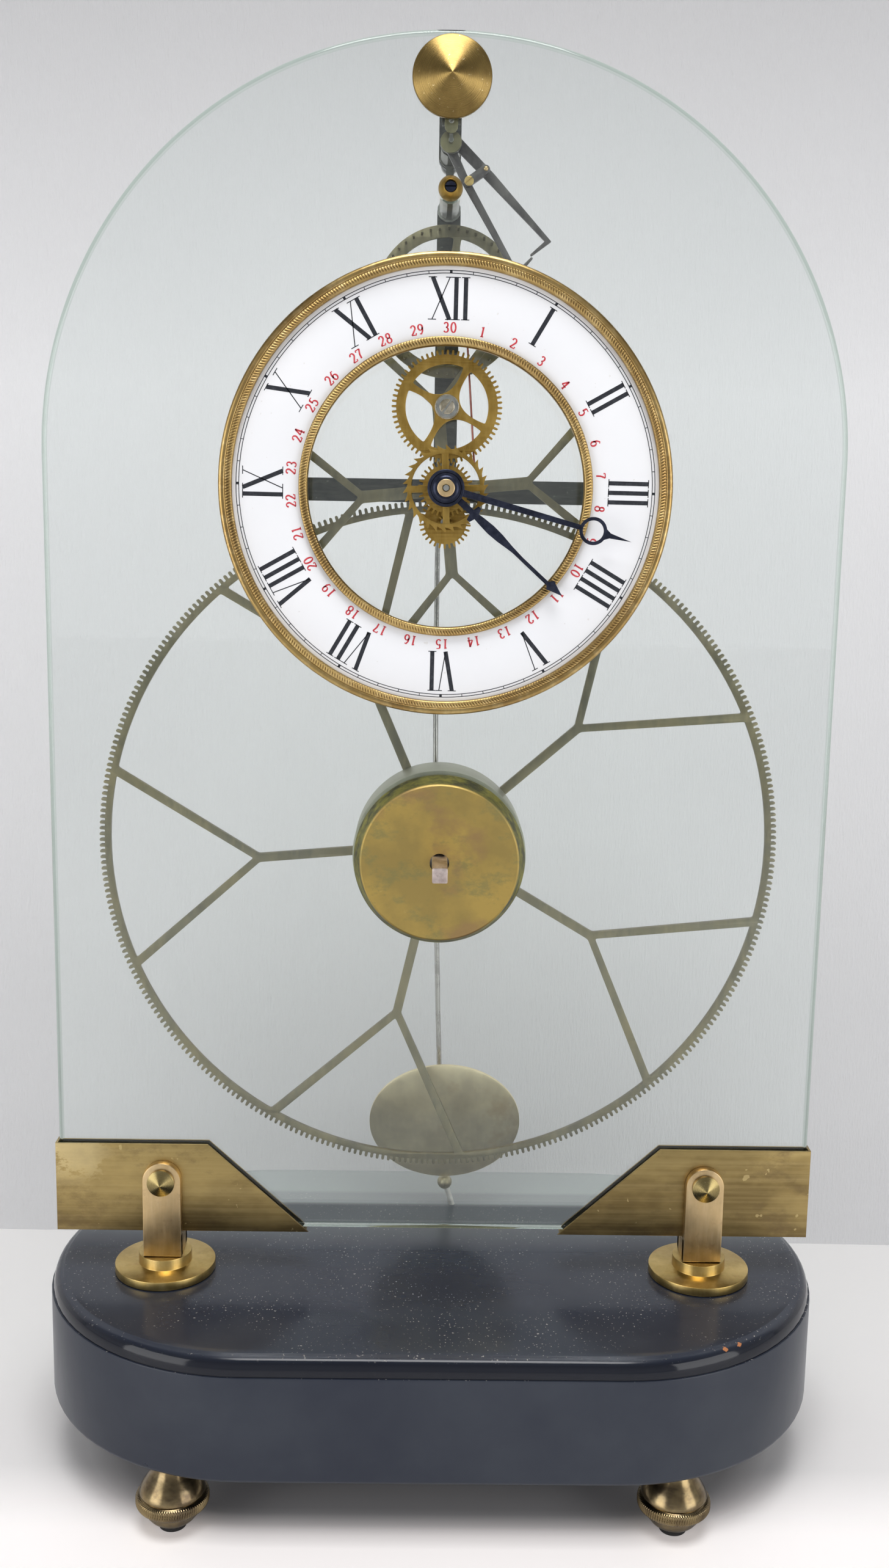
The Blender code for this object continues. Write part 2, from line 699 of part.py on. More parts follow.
def make_cocks(steel, brass, grey):
    tip = -cone_height - cone_rim - gap
    bore_depth = cone_height / 2
    cone = [(0, tip), (cone_radius, -cone_rim - gap), (cone_radius, -gap), (stud_radius + gap, -gap),
            (stud_radius + gap, -bore_depth - gap), (0, -bore_depth - gap)]
    turned("cone_nut", brass, cone, 2 * medium_sides, (0, glass_y, stud_z))
    half = cock_width / 2
    foot = stud_rise - hub_radius - 2 * run_gap
    low_half = half * cock_foot_share
    outline = arc(half, -pi / 2, pi / 2, 9) + [(low_half, -foot), (-low_half, -foot)]
    bore = circle(stud_radius + gap, small_sides)
    front_cock = plate("front_cock", grey, [outline, bore], front_cock_layer,
                       front_cock_layer + front_cock_thickness, (0, glass_y, stud_z))
    lug_back = front_cock_layer + front_cock_thickness / 2
    pin = box_object("pivot_arm", grey, (-pivot_radius, front_cock_layer, -stud_rise - pivot_radius),
                     (pivot_radius, lug_back, -foot + run_gap), (0, glass_y, stud_z))
    combine(front_cock, pin)
    pivot = turned("front_pivot", grey, turned_rod(pivot_radius, front_cock_layer + pivot_radius,
                                                   hub_disc_layer + 2 * hub_disc_thickness), 10,
                   (0, glass_y, pallet_z))
    combine(front_cock, pivot)
    back = rear_cock_layer + rear_cock_thickness
    shape = arc(half, -pi / 2, pi / 2, 9) + arc(half, pi / 2, 3 * pi / 2, 9, (0, -stud_rise))
    rear_cock = plate("rear_cock", steel, [shape], rear_cock_layer, back, (0, glass_y, stud_z))
    stud = turned("stud", steel, turned_rod(stud_radius, -bore_depth, back + gap), small_sides,
                  (0, glass_y, stud_z))
    combine(rear_cock, stud)
    hanger = turned("hanger", steel, turned_rod(suspension_pin_radius, back - gap, pendulum_back() + 2 * gap),
                    12, (0, glass_y, pallet_z))
    combine(rear_cock, hanger)
    bearing = turned("bearing", steel, turned_rod(pivot_radius + run_gap, rear_cock_layer - gap,
                                                  back - rear_cock_thickness / 3), 10,
                     (0, glass_y, pallet_z))
    combine(rear_cock, bearing, "DIFFERENCE")


def turned_rod(radius, front, back):
    return [(0, front), (radius, front), (radius, back), (0, back)]


def pendulum_back():
    return pendulum_layer + 2 * rod_radius


# Going train

def forked_wheel(name, material, teeth, pitch_radius, module, rim, hub_hole, forks, layer, thickness, place,
                 turn, steps):
    spokes, spoke_turn, hub, fork, spoke_width, arm_width, half_angle = forks
    tip = pitch_radius + tip_share * module
    root = pitch_radius - root_depth_share * module
    outline = pointed_teeth(teeth, tip, root, wheel_root_share, 0, turn)
    windows = forked_windows(spokes, spoke_turn, hub, fork, root - rim, spoke_width, arm_width, half_angle,
                             steps)
    hole = circle(hub_hole, small_sides)
    return plate(name, material, [outline, hole] + windows, layer, layer + thickness, place)


def leaves(count, module, turn):
    pitch_radius = module * count / 2
    return pointed_teeth(count, pitch_radius + leaf_tip_rise * module, pitch_radius - leaf_root_drop * module,
                         leaf_root_share, leaf_tip_share, turn)


def make_great_wheel(brass):
    forks = (great_spokes, great_spoke_turn, barrel_radius, great_fork_radius, great_spoke_width,
             great_arm_width, great_arm_half_angle)
    forked_wheel("great_wheel", brass, great_teeth, great_pitch_radius, great_module, great_rim,
                 winding_arbor_radius + run_gap, forks, great_wheel_layer, great_thickness,
                 (0, glass_y, great_z), 0, 6)


def make_barrel(brass, spring_steel, steel):
    place = (0, glass_y, great_z)
    back = great_wheel_layer - gap
    hole = bush_radius + run_gap
    inner = barrel_radius - barrel_wall
    barrel = [(hole, barrel_front), (barrel_radius, barrel_front), (barrel_radius, back), (inner, back),
              (inner, barrel_front + barrel_wall), (hole, barrel_front + barrel_wall)]
    turned("barrel", brass, barrel, 2 * small_sides, place)
    front = barrel_front + 3 * barrel_wall
    rear = back - 2 * barrel_wall
    start = winding_core_radius + 2 * gap
    end = inner - 2 * spring_strip
    steps = 9 * spring_turns
    outer_side, inner_side = [], []
    for k in range(steps + 1):
        share = k / steps
        radius = start + (end - start) * share
        outer_side.append(polar(radius + spring_strip, 2 * pi * spring_turns * share))
        inner_side.append(polar(radius, 2 * pi * spring_turns * share))
    plate("mainspring", spring_steel, [outer_side + inner_side[::-1]], front, rear, place)
    flange_back = -gap
    flange_front = flange_back - bush_flange_thickness
    bush_end = barrel_front + 2 * barrel_wall
    bush_hole = winding_arbor_radius + run_gap
    bush = [(bush_hole, flange_front), (bush_flange_radius, flange_front), (bush_flange_radius, flange_back),
            (bush_radius, flange_back), (bush_radius, bush_end), (bush_hole, bush_end)]
    turned("barrel_bush", brass, bush, medium_sides, place)
    ratchet_front = flange_front - gap - ratchet_thickness
    core_front = bush_end + gap
    core_back = great_wheel_layer - 2 * gap
    wheel_back = great_wheel_layer + great_thickness
    collar = wheel_back + gap
    end = collar + winding_collar_thickness
    radius = winding_arbor_radius
    square = winding_square / 2
    key_back = ratchet_front - gap
    shaft = [(0, key_back - square), (radius, key_back - square), (radius, core_front),
             (winding_core_radius, core_front), (winding_core_radius, core_back), (radius, core_back),
             (radius, collar), (winding_collar_radius, collar), (winding_collar_radius, end), (0, end)]
    arbor = turned("winding_arbor", steel, shaft, small_sides, place)
    key = box_object("winding_key", steel, (-square, -winding_square_length, -square),
                     (square, key_back, square), place)
    combine(arbor, key)
    ratchet = saw_teeth(ratchet_teeth, ratchet_tip_radius, ratchet_root_radius)
    plate("ratchet_wheel", steel, [ratchet, circle(radius + run_gap, small_sides)], ratchet_front,
          ratchet_front + ratchet_thickness, place)
    return ratchet_front


def make_cover(brass, steel, ratchet_front):
    place = (0, glass_y, great_z)
    front = -gap - cover_depth
    inner = cover_radius - cover_wall
    inner_front = front + cover_wall
    cover = [(cover_hole_radius, front), (cover_face_radius, front), (cover_radius, -gap - cover_wall),
             (cover_radius, -gap), (inner, -gap), (inner, -gap - cover_wall),
             (cover_face_radius - cover_wall, inner_front), (cover_hole_radius, inner_front)]
    drum = turned("drum_cover", brass, cover, 2 * medium_sides, place)
    click_x, click_z = click_place()
    click_back = ratchet_front + ratchet_thickness
    boss = turned("click_boss", brass, turned_rod(click_pivot_radius, inner_front - gap, click_back), 8,
                  (click_x, glass_y, great_z + click_z))
    combine(drum, boss)
    half = click_width / 2
    eye = arc(half, radians(-60), radians(150), 7)
    nose = [(-click_length, half * share) for share in click_nose_shares]
    plate("click", steel, [nose + eye, circle(click_pivot_radius + run_gap, 8)], ratchet_front, click_back,
          (click_x, glass_y, great_z + click_z))
    spring_y = (ratchet_front + click_back) / 2
    lift = half + click_spring_radius + 2 * gap
    low = (-click_length / 2, spring_y, click_lift_room + lift)
    high = (click_width, spring_y, click_lift_room + lift)
    spring = wire_mesh([low, high, (click_width, inner_front + gap + click_spring_radius, high[2])],
                       click_spring_radius, 6)
    finish_object("click_spring", spring, steel, (click_x, glass_y, great_z + click_z))


def click_place():
    return (click_length, ratchet_tip_radius + gap + click_width * click_rise_share)


def wire_mesh(points, radius, sides):
    """A round wire along a polyline, mitred at its corners."""
    bm = bmesh.new()
    path = [Vector(p) for p in points]
    ahead = [(b - a).normalized() for a, b in zip(path, path[1:])]
    side = ahead[0].orthogonal().normalized()
    rings = []
    for i, point in enumerate(path):
        before = ahead[max(0, i - 1)]
        after = ahead[min(i, len(ahead) - 1)]
        normal = (before + after).normalized()
        side = (side - before * side.dot(before)).normalized()
        other = before.cross(side)
        ring = []
        for k in range(sides):
            a = 2 * pi * k / sides
            spoke = side * (radius * cos(a)) + other * (radius * sin(a))
            shift = -spoke.dot(normal) / before.dot(normal)
            ring.append(bm.verts.new(point + spoke + before * shift))
        rings.append(ring)
    for low, high in zip(rings, rings[1:]):
        for k in range(sides):
            j = (k + 1) % sides
            bm.faces.new((low[k], low[j], high[j], high[k]))
    bm.faces.new(rings[0])
    bm.faces.new(rings[-1])
    return bm


def make_centre_arbor(steel, brass):
    place = (0, glass_y, arbor_z)
    nut_front = minute_hand_layer - gap - hand_nut_length
    tail = frame_layer + frame_thickness
    pinion_front = great_wheel_layer - 2 * gap
    pinion_back = great_wheel_layer + great_thickness + 2 * gap
    collar_front = glass_thickness + gap
    collar = cannon_outer
    shaft = [(0, nut_front - arbor_radius), (arbor_radius, nut_front - arbor_radius),
             (arbor_radius, collar_front), (collar, collar_front),
             (collar, frame_layer - gap), (pivot_radius, frame_layer - gap), (pivot_radius, tail), (0, tail)]
    arbor = turned("centre_arbor", steel, shaft, 10, place)
    pinion = plate("pinion", steel, [leaves(centre_pinion_leaves, great_module, centre_pinion_turn)],
                   pinion_front, pinion_back, place)
    combine(arbor, pinion)
    pitch_radius = train_module * centre_teeth / 2
    forks = (centre_spokes, centre_spoke_turn, centre_hub_radius, centre_fork_radius, centre_spoke_width,
             centre_arm_width, centre_arm_half_angle)
    forked_wheel("centre_wheel", brass, centre_teeth, pitch_radius, train_module, centre_rim,
                 collar + run_gap / 2, forks, centre_wheel_layer, centre_thickness, place, 0, 5)
    cannon_front = minute_hand_layer + hand_thickness + gap
    leaf_front = minute_wheel_layer
    leaf_back = -gap
    cannon = turned("cannon_pinion", steel, ring_profile(cannon_hole, cannon_outer, cannon_front, leaf_back),
                    10, place)
    teeth = plate("cannon_leaves", steel, [leaves(cannon_leaves, motion_module, cannon_turn),
                                           circle(cannon_hole, 10, turn=pi / 10)],
                  leaf_front, leaf_back - gap, place)
    combine(cannon, teeth)
    nut = ring_profile(arbor_radius + run_gap / 3, hand_nut_radius, nut_front, minute_hand_layer - gap)
    turned("hand_nut", steel, nut, small_sides, place)


def make_motion_work(brass, steel):
    layer = minute_wheel_layer
    back = layer + motion_thickness
    hour_front = hour_wheel_layer
    hour_back = hour_front + motion_thickness
    place = (0, glass_y, minute_z)
    module = motion_module
    hole = arbor_radius + run_gap
    radius = module * minute_wheel_teeth / 2
    rim = pointed_teeth(minute_wheel_teeth, radius + motion_tip_share * module,
                        radius - root_depth_share * module, motion_root_share, motion_point_share, 0)
    wheel = plate("minute_wheel", brass, [rim, circle(hole, 10)], layer, back, place)
    pinion = plate("minute_pinion", brass, [leaves(minute_pinion_leaves, module, minute_pinion_turn),
                                            circle(hole, 10)], hour_front - gap, layer + gap, place)
    combine(wheel, pinion)
    head = hour_front - 2 * gap
    stud_end = glass_thickness + gap
    stud = [(0, head - arbor_radius / 2), (hole + run_gap, head - arbor_radius / 2), (hole + run_gap, head),
            (arbor_radius, head), (arbor_radius, back + gap), (hole + run_gap, back + gap),
            (hole + run_gap, -gap), (arbor_radius, -gap), (arbor_radius, stud_end),
            (2 * arbor_radius, stud_end), (2 * arbor_radius, stud_end + arbor_radius),
            (0, stud_end + arbor_radius)]
    turned("minute_stud", steel, stud, 8, place)
    place = (0, glass_y, arbor_z)
    radius = module * hour_wheel_teeth / 2
    rim = pointed_teeth(hour_wheel_teeth, radius + motion_tip_share * module,
                        radius - root_depth_share * module, motion_root_share, motion_point_share,
                        pi + pi / hour_wheel_teeth)
    wheel = plate("hour_wheel", brass, [rim, circle(hour_hole, 10, turn=pi / 10)], hour_front, hour_back,
                  place)
    pipe = turned("hour_pipe", brass, ring_profile(hour_hole, hour_outer, hour_hand_layer + gap
                                                   + hand_thickness, hour_front + gap), 10, place)
    combine(wheel, pipe)
    place = (0, glass_y, day_z)
    radius = module * day_wheel_teeth / 2
    rim = pointed_teeth(day_wheel_teeth, radius + motion_tip_share * module,
                        radius - root_depth_share * module, motion_root_share, motion_point_share,
                        day_wheel_turn)
    windows = straight_windows(straight_spokes, day_spoke_turn, day_hub_radius, day_rim_inner_radius,
                               day_spoke_width, 6)
    plate("day_wheel", brass, [rim, circle(hole, 10)] + windows, hour_front, hour_back, place)
    head_back = hour_front - gap
    head_radius = day_hub_radius * day_head_share
    stud = [(0, head_back - hand_nut_length), (head_radius, head_back - hand_nut_length),
            (head_radius, head_back), (arbor_radius, head_back), (arbor_radius, hour_back + gap),
            (day_hub_radius / 2, hour_back + gap), (day_hub_radius / 2, -gap), (arbor_radius, -gap),
            (arbor_radius, stud_end), (2 * arbor_radius, stud_end),
            (2 * arbor_radius, stud_end + arbor_radius), (0, stud_end + arbor_radius)]
    turned("day_stud", steel, stud, small_sides, place)


def make_date_work(brass, wire):
    place = (0, glass_y, arbor_z)
    layer = date_wheel_layer
    rim = saw_teeth(date_teeth, date_tip_radius, date_root_radius)
    hub = date_outer + pipe_wall * 2
    windows = straight_windows(straight_spokes, 0, hub, date_rim_inner_radius, date_spoke_width, 6)
    wheel = plate("date_wheel", brass, [rim, circle(date_hole, 10, turn=pi / 10)] + windows, layer,
                  layer + date_thickness, place)
    pipe = turned("date_pipe", brass, ring_profile(date_hole, date_outer, date_hand_layer + gap
                                                   + hand_thickness, layer + gap), 10, place)
    combine(wheel, pipe)
    foot_x, foot_z = [share * date_tip_radius for share in detent_foot_shares]
    end_x, end_z = [share * date_tip_radius for share in detent_end_shares]
    path = [(end_x, detent_layer, end_z), (foot_x, detent_layer, foot_z), (foot_x, -gap, foot_z)]
    finish_object("date_detent", wire_mesh(path, detent_radius, 6), wire, place)


def make_escape(steel, brass):
    place = (0, glass_y, escape_z)
    tail = frame_layer + frame_thickness
    body = pipe_wall + arbor_radius
    shaft = [(0, pivot_radius), (pivot_radius, pivot_radius), (pivot_radius, glass_thickness + gap),
             (body, glass_thickness + gap), (body, frame_layer - gap), (pivot_radius, frame_layer - gap),
             (pivot_radius, tail), (0, tail)]
    arbor = turned("escape_arbor", steel, shaft, 8, place)
    pinion = plate("escape_pinion", steel, [leaves(escape_pinion_leaves, train_module, escape_pinion_turn)],
                   centre_wheel_layer - gap, centre_wheel_layer + centre_thickness + gap, place)
    combine(arbor, pinion)
    outline = circle(escape_outer_radius, fine_sides)
    windows = straight_windows(straight_spokes, escape_spoke_turn, escape_hub_radius, escape_inner_radius,
                               escape_spoke_width, 7)
    wheel = plate("escape_wheel", brass, [outline, circle(body + run_gap / 2, 8, turn=pi / 8)] + windows,
                  escape_wheel_layer, escape_wheel_layer + escape_thickness, place)
    bm = bmesh.new()
    for k in range(escape_pins):
        x, z = polar(escape_pin_circle, 2 * pi * k / escape_pins)
        pin = turned_mesh(turned_rod(escape_pin_radius, escape_wheel_layer - escape_pin_length,
                                     escape_wheel_layer + escape_thickness / 2), 3)
        bmesh.ops.translate(pin, verts=pin.verts, vec=(x, 0, z))
        part = bpy.data.meshes.new("pin")
        pin.to_mesh(part)
        pin.free()
        bm.from_mesh(part)
        bpy.data.meshes.remove(part)
    pins = finish_object("pins", bm, brass, place)
    combine(wheel, pins)


# Hands

def swung(points, angle):
    return [turn_point(p, angle) for p in points]


def make_hands(blue):
    place = (0, glass_y, arbor_z)
    half = minute_bar_width / 2
    inner = minute_ring_radius - minute_ring_band
    boss_turn = asin(half / hand_boss_radius)
    ring_turn = asin(half / minute_ring_radius)
    tip_turn = asin(minute_tip_share)
    boss = arc(hand_boss_radius, boss_turn, 2 * pi - boss_turn, 21)
    left_ring = arc(minute_ring_radius, pi + ring_turn, 2 * pi - tip_turn, 9, (0, minute_ring_centre))
    right_ring = arc(minute_ring_radius, tip_turn, pi - ring_turn, 9, (0, minute_ring_centre))
    outline = boss + left_ring + [(0, minute_hand_reach)] + right_ring
    hole = circle(inner, 18, (0, minute_ring_centre))
    plate("minute_hand", blue, [swung(outline, minute_hand_angle), swung(hole, minute_hand_angle),
                                circle(arbor_radius + run_gap / 2, 10)],
          minute_hand_layer, minute_hand_layer + hand_thickness, place)
    side = [(r * hour_hand_reach, w * hand_boss_radius) for r, w in hour_hand_shares]
    boss_turn = asin(side[0][1] / hand_boss_radius)
    boss = arc(hand_boss_radius * hour_boss_share, boss_turn, 2 * pi - boss_turn, 21)
    outline = boss + [(-w, r) for r, w in side] + [(0, hour_hand_reach)] + [(w, r) for r, w in side[::-1]]
    plate("hour_hand", blue, [swung(outline, hour_hand_angle), circle(hour_hole, 10, turn=pi / 10)],
          hour_hand_layer, hour_hand_layer + hand_thickness, place)
    half = date_hand_width / 2
    boss_turn = asin(half / hand_boss_radius)
    boss = arc(hand_boss_radius * date_boss_share, boss_turn, 2 * pi - boss_turn, 21)
    outline = boss + [(-half, date_hand_reach), (half, date_hand_reach)]
    plate("date_hand", blue, [swung(outline, date_hand_angle), circle(date_hole, 10, turn=pi / 10)],
          date_hand_layer, date_hand_layer + hand_thickness, place)


# Pallets and pendulum

def make_pallets(steel, brass, grey):
    place = (0, glass_y, pallet_z)
    disc_back = hub_disc_layer + hub_disc_thickness
    front_hole = pivot_radius + run_gap
    hole_depth = hub_disc_layer + 3 * hub_disc_thickness
    rear = rear_cock_layer - gap
    pivot_end = rear_cock_layer + rear_cock_thickness / 2
    arms_front = short_pallet_layer
    step = pallet_arm_thickness + gap
    arms_back = arms_front + 2 * step
    core = pallet_eye_radius / 2
    hub = [(0, hole_depth), (front_hole, hole_depth), (front_hole, hub_disc_layer),
           (hub_radius, hub_disc_layer), (hub_radius, disc_back), (core, disc_back), (core, arms_back),
           (hub_barrel_radius, arms_back), (hub_barrel_radius, rear - hub_disc_thickness),
           (hub_radius, rear - hub_disc_thickness), (hub_radius, rear - gap), (pivot_radius, rear - gap),
           (pivot_radius, pivot_end), (0, pivot_end)]
    arbor = turned("pallet_arbor", grey, hub, small_sides, place)
    half = crutch_width / 2
    crutch_front = rear - hub_disc_thickness - gap
    crutch = box_object("crutch_arm", grey, (-half, crutch_front - pallet_arm_thickness, -crutch_length),
                        (half, crutch_front, -hub_radius / 2), place)
    combine(arbor, crutch)
    back = pendulum_back() + gap
    prong = rod_radius + 2 * gap
    bridge = box_object("crutch_fork", grey,
                        (-prong - crutch_prong, crutch_front - pallet_arm_thickness / 2,
                         -crutch_length - crutch_prong),
                        (prong + crutch_prong, back, -crutch_length + crutch_prong), place)
    notch = box_object("fork_notch", grey, (-prong, pendulum_layer - 2 * gap, -2 * crutch_length),
                       (prong, back + gap, 0), place)
    combine(bridge, notch, "DIFFERENCE")
    combine(arbor, bridge)
    eye = pallet_eye_radius * pallet_eye_share
    hole = core + run_gap / 2
    arm_loops("long_pallet", steel, long_pallet_shares, long_pallet_width, eye, hole, arms_front + step,
              place)
    arm_loops("short_pallet", steel, short_pallet_shares, short_pallet_width, eye, hole, arms_front, place)
    link = [(x * pallet_rise, z * pallet_rise) for x, z in link_shares]
    outline = strip_outline(link, link_width, link_width)
    link_plate = plate("pallet_link", steel, [outline], arms_front - step, arms_front - gap, place)
    x, z = link[0]
    screw = turned("eccentric_screw", brass, turned_rod(link_width * screw_share,
                                                        arms_front - step - pallet_arm_thickness / 2,
                                                        arms_front - step + gap), 12,
                   (x, glass_y, pallet_z + z))
    combine(link_plate, screw)


def strip_outline(path, width, end_width):
    """A flat bar's outline along a few points, narrowing from width to end_width."""
    points = [Vector(p) for p in path]
    left, right = [], []
    count = len(points)
    for i, point in enumerate(points):
        before = (points[i] - points[i - 1]).normalized() if i else (points[1] - points[0]).normalized()
        after = (points[i + 1] - points[i]).normalized() if i + 1 < count else before
        along = (before + after).normalized()
        across = Vector((-along.y, along.x))
        half = (width + (end_width - width) * i / (count - 1)) / 2 / max(0.5, along.dot(before))
        left.append(tuple(point + across * half))
        right.append(tuple(point - across * half))
    return left + right[::-1]


def arm_loops(name, material, shares, width, eye, hole, front, place):
    """A pallet arm: a round eye on the arbor and a bar through the given points."""
    path = [(x * pallet_rise, z * pallet_rise) for x, z in shares]
    back = front + pallet_arm_thickness
    arm = plate(name, material, [strip_outline(path, width, width * arm_end_share)], front, back, place)
    combine(arm, turned(name + "_eye", material, turned_rod(eye, front, back), small_sides, place))
    bore = turned_rod(hole, front - gap, back + gap)
    combine(arm, turned(name + "_bore", material, bore, small_sides, place), "DIFFERENCE")
    return arm


def make_pendulum(steel, brass):
    place = (0, glass_y, pallet_z)
    front = pendulum_layer
    back = pendulum_back()
    middle = (front + back) / 2
    bend = (rod_bend_shares[0] * pendulum_length, middle, rod_bend_shares[1] * pendulum_length)
    foot = (rod_foot_share * pendulum_length, middle, -pendulum_length)
    top = (0, middle, -suspension_pin_radius - 2 * run_gap)
    rod = finish_object("pendulum_rod", wire_mesh([top, bend, foot], rod_radius, 8), steel, place)
    combine(rod, turned("rod_eye", steel, turned_rod(pendulum_eye_radius, front, back), small_sides, place))
    bore = turned_rod(suspension_pin_radius + run_gap, front - gap, back + gap)
    combine(rod, turned("rod_bore", steel, bore, small_sides, place), "DIFFERENCE")
    face = bob_thickness / 2
    edge = bob_edge / 2
    lens = [(0, -face), (bob_radius * lens_shares[0], -face * lens_shares[1]), (bob_radius, -edge),
            (bob_radius, edge), (bob_radius * lens_shares[0], face * lens_shares[1]), (0, face)]
    bob = turned("pendulum_bob", brass, lens, 2 * medium_sides, (bob_shift, glass_y + middle, bob_z))
    bob.data.transform(Matrix.Rotation(bob_tilt, 4, "X"))
    pocket = wire_mesh([bend, (foot[0], middle, foot[2] - gap)], rod_radius + gap, 8)
    combine(bob, finish_object("rod_pocket", pocket, brass, place), "DIFFERENCE")
    start = bob_radius * cos(pi / 2 / medium_sides) + 2 * gap
    nut = [(tail_radius, 0)]
    nut += [(rating_nut_radius * sin(a), rating_nut_radius * (cos(a) - 1)) for a in
            [radians(36 * k) for k in range(1, 5)]]
    nut += [(tail_radius, -2 * rating_nut_radius), (tail_radius, -tail_length), (0, -tail_length), (0, 0)]
    nut_piece = turned("rating_nut", brass, nut, 10, (bob_shift, glass_y + middle, bob_z), "Z")
    nut_piece.data.transform(Matrix.Rotation(-tail_lean, 4, "Y"))
    nut_piece.data.transform(Matrix.Translation((0, 0, -start)))
    nut_piece.data.transform(Matrix.Rotation(bob_tilt, 4, "X"))


def main():
    for old in list(bpy.data.objects):
        bpy.data.objects.remove(old)
    lacquer = make_material("black_lacquer", (0.02, 0.02, 0.025), 0.25, 0.0)
    brushed = make_material("antique_brass", (0.42, 0.30, 0.11), 0.38, 1.0)
    bronze = make_material("bronze_brass", (0.50, 0.32, 0.16), 0.30, 1.0)
    polished = make_material("polished_brass", (0.72, 0.52, 0.16), 0.22, 1.0)
    gilt = make_material("gilt", (0.62, 0.38, 0.10), 0.30, 1.0)
    wheels = make_material("wheel_brass", (0.35, 0.30, 0.14), 0.45, 1.0)
    golden = make_material("golden_brass", (0.50, 0.34, 0.07), 0.40, 1.0)
    glass = make_material("clear_glass", (0.90, 0.96, 0.94), 0.02, 0.0, 1.0)
    enamel = make_material("white_enamel", (0.90, 0.90, 0.92), 0.25, 0.0)
    steel = make_material("dark_steel", (0.12, 0.13, 0.12), 0.45, 1.0)
    grey = make_material("grey_metal", (0.45, 0.46, 0.44), 0.35, 1.0)
    blue = make_material("blued_steel", (0.02, 0.03, 0.08), 0.30, 1.0)
    wire = make_material("copper_wire", (0.40, 0.15, 0.12), 0.40, 1.0)
    make_base(lacquer)
    make_feet(brushed)
    make_posts(polished, bronze)
    make_shoes(brushed)
    make_glass(glass)
    make_dial(gilt, enamel, golden)
    make_frame(steel, golden, grey)
    make_cocks(steel, golden, grey)
    make_great_wheel(wheels)
    ratchet_front = make_barrel(golden, steel, grey)
    make_cover(golden, steel, ratchet_front)
    make_centre_arbor(grey, wheels)
    make_motion_work(golden, grey)
    make_date_work(golden, wire)
    make_escape(grey, wheels)
    make_hands(blue)
    make_pallets(steel, golden, grey)
    make_pendulum(grey, wheels)


main()
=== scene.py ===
import bmesh
import bpy
import json
import numpy as np
from math import pi, sin, cos, tan, atan2, asin, radians
from mathutils import Matrix, Vector


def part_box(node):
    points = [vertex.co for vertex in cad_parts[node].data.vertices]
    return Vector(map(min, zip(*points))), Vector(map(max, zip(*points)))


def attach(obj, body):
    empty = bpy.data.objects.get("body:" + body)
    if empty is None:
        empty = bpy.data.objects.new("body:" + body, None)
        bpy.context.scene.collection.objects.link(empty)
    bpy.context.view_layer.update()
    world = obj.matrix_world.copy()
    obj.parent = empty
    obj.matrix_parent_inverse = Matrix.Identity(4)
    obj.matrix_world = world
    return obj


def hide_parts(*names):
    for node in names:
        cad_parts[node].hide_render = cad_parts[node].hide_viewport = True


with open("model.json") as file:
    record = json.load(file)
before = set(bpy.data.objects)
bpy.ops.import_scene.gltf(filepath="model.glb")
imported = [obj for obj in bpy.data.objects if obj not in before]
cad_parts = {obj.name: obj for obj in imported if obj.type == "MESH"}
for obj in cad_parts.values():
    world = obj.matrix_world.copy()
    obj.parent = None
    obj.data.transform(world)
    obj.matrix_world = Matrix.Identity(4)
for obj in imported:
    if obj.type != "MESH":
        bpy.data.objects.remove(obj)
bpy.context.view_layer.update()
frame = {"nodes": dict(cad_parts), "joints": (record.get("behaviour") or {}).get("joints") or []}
nodes = frame["nodes"]
# where each joint's axis meets the plane y = 0
axle = {joint["name"]: np.array(joint["pos_m"]) * (1, 0, 1) for joint in frame["joints"]}
mm = 0.001
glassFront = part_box("glass_plate")[0].y
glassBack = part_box("glass_plate")[1].y
print("frame loaded:", len(nodes), "nodes")


# Camera: focal length in pixels of the whole 1456 x 2567 picture, angles in degrees, place in metres
viewpoint = {"focal": 2500.0, "tall": 2567.0, "sensor": 36.0, "down": 9.592, "aside": 0.807, "roll": 0.986,
             "place": (-0.00599, -0.54138, 0.34108), "clip": (0.01, 20)}


def makeCamera(s):
    down, aside, roll = radians(s["down"]), radians(s["aside"]), radians(s["roll"])
    ahead = Vector((sin(aside) * cos(down), cos(aside) * cos(down), -sin(down)))
    level = Vector((cos(aside), -sin(aside), 0))
    above = level.cross(ahead)
    right = level * cos(roll) + above * sin(roll)
    up = above * cos(roll) - level * sin(roll)
    data = bpy.data.cameras.new("viewpoint")
    data.sensor_width = s["sensor"]
    data.lens = s["focal"] / s["tall"] * s["sensor"]
    data.clip_start, data.clip_end = s["clip"]
    camera = bpy.data.objects.new("viewpoint", data)
    camera.matrix_world = Matrix((right, up, -ahead)).transposed().to_4x4()
    camera.location = s["place"]
    bpy.context.scene.collection.objects.link(camera)
    bpy.context.scene.camera = camera


makeCamera(viewpoint)
bpy.context.scene.view_settings.view_transform = "Standard"


# Shader maths: a Link stands for a socket, and arithmetic on it adds Math nodes

def operator(operation, turned=False):
    def applied(self, other):
        first, second = (other, self) if turned else (self, other)
        return self.finish.maths(operation, first, second)
    return applied


class Link:
    def __init__(self, finish, socket):
        self.finish, self.socket = finish, socket

    __add__, __radd__ = operator("ADD"), operator("ADD", True)
    __sub__, __rsub__ = operator("SUBTRACT"), operator("SUBTRACT", True)
    __mul__, __rmul__ = operator("MULTIPLY"), operator("MULTIPLY", True)
    __gt__, __lt__ = operator("GREATER_THAN"), operator("LESS_THAN")


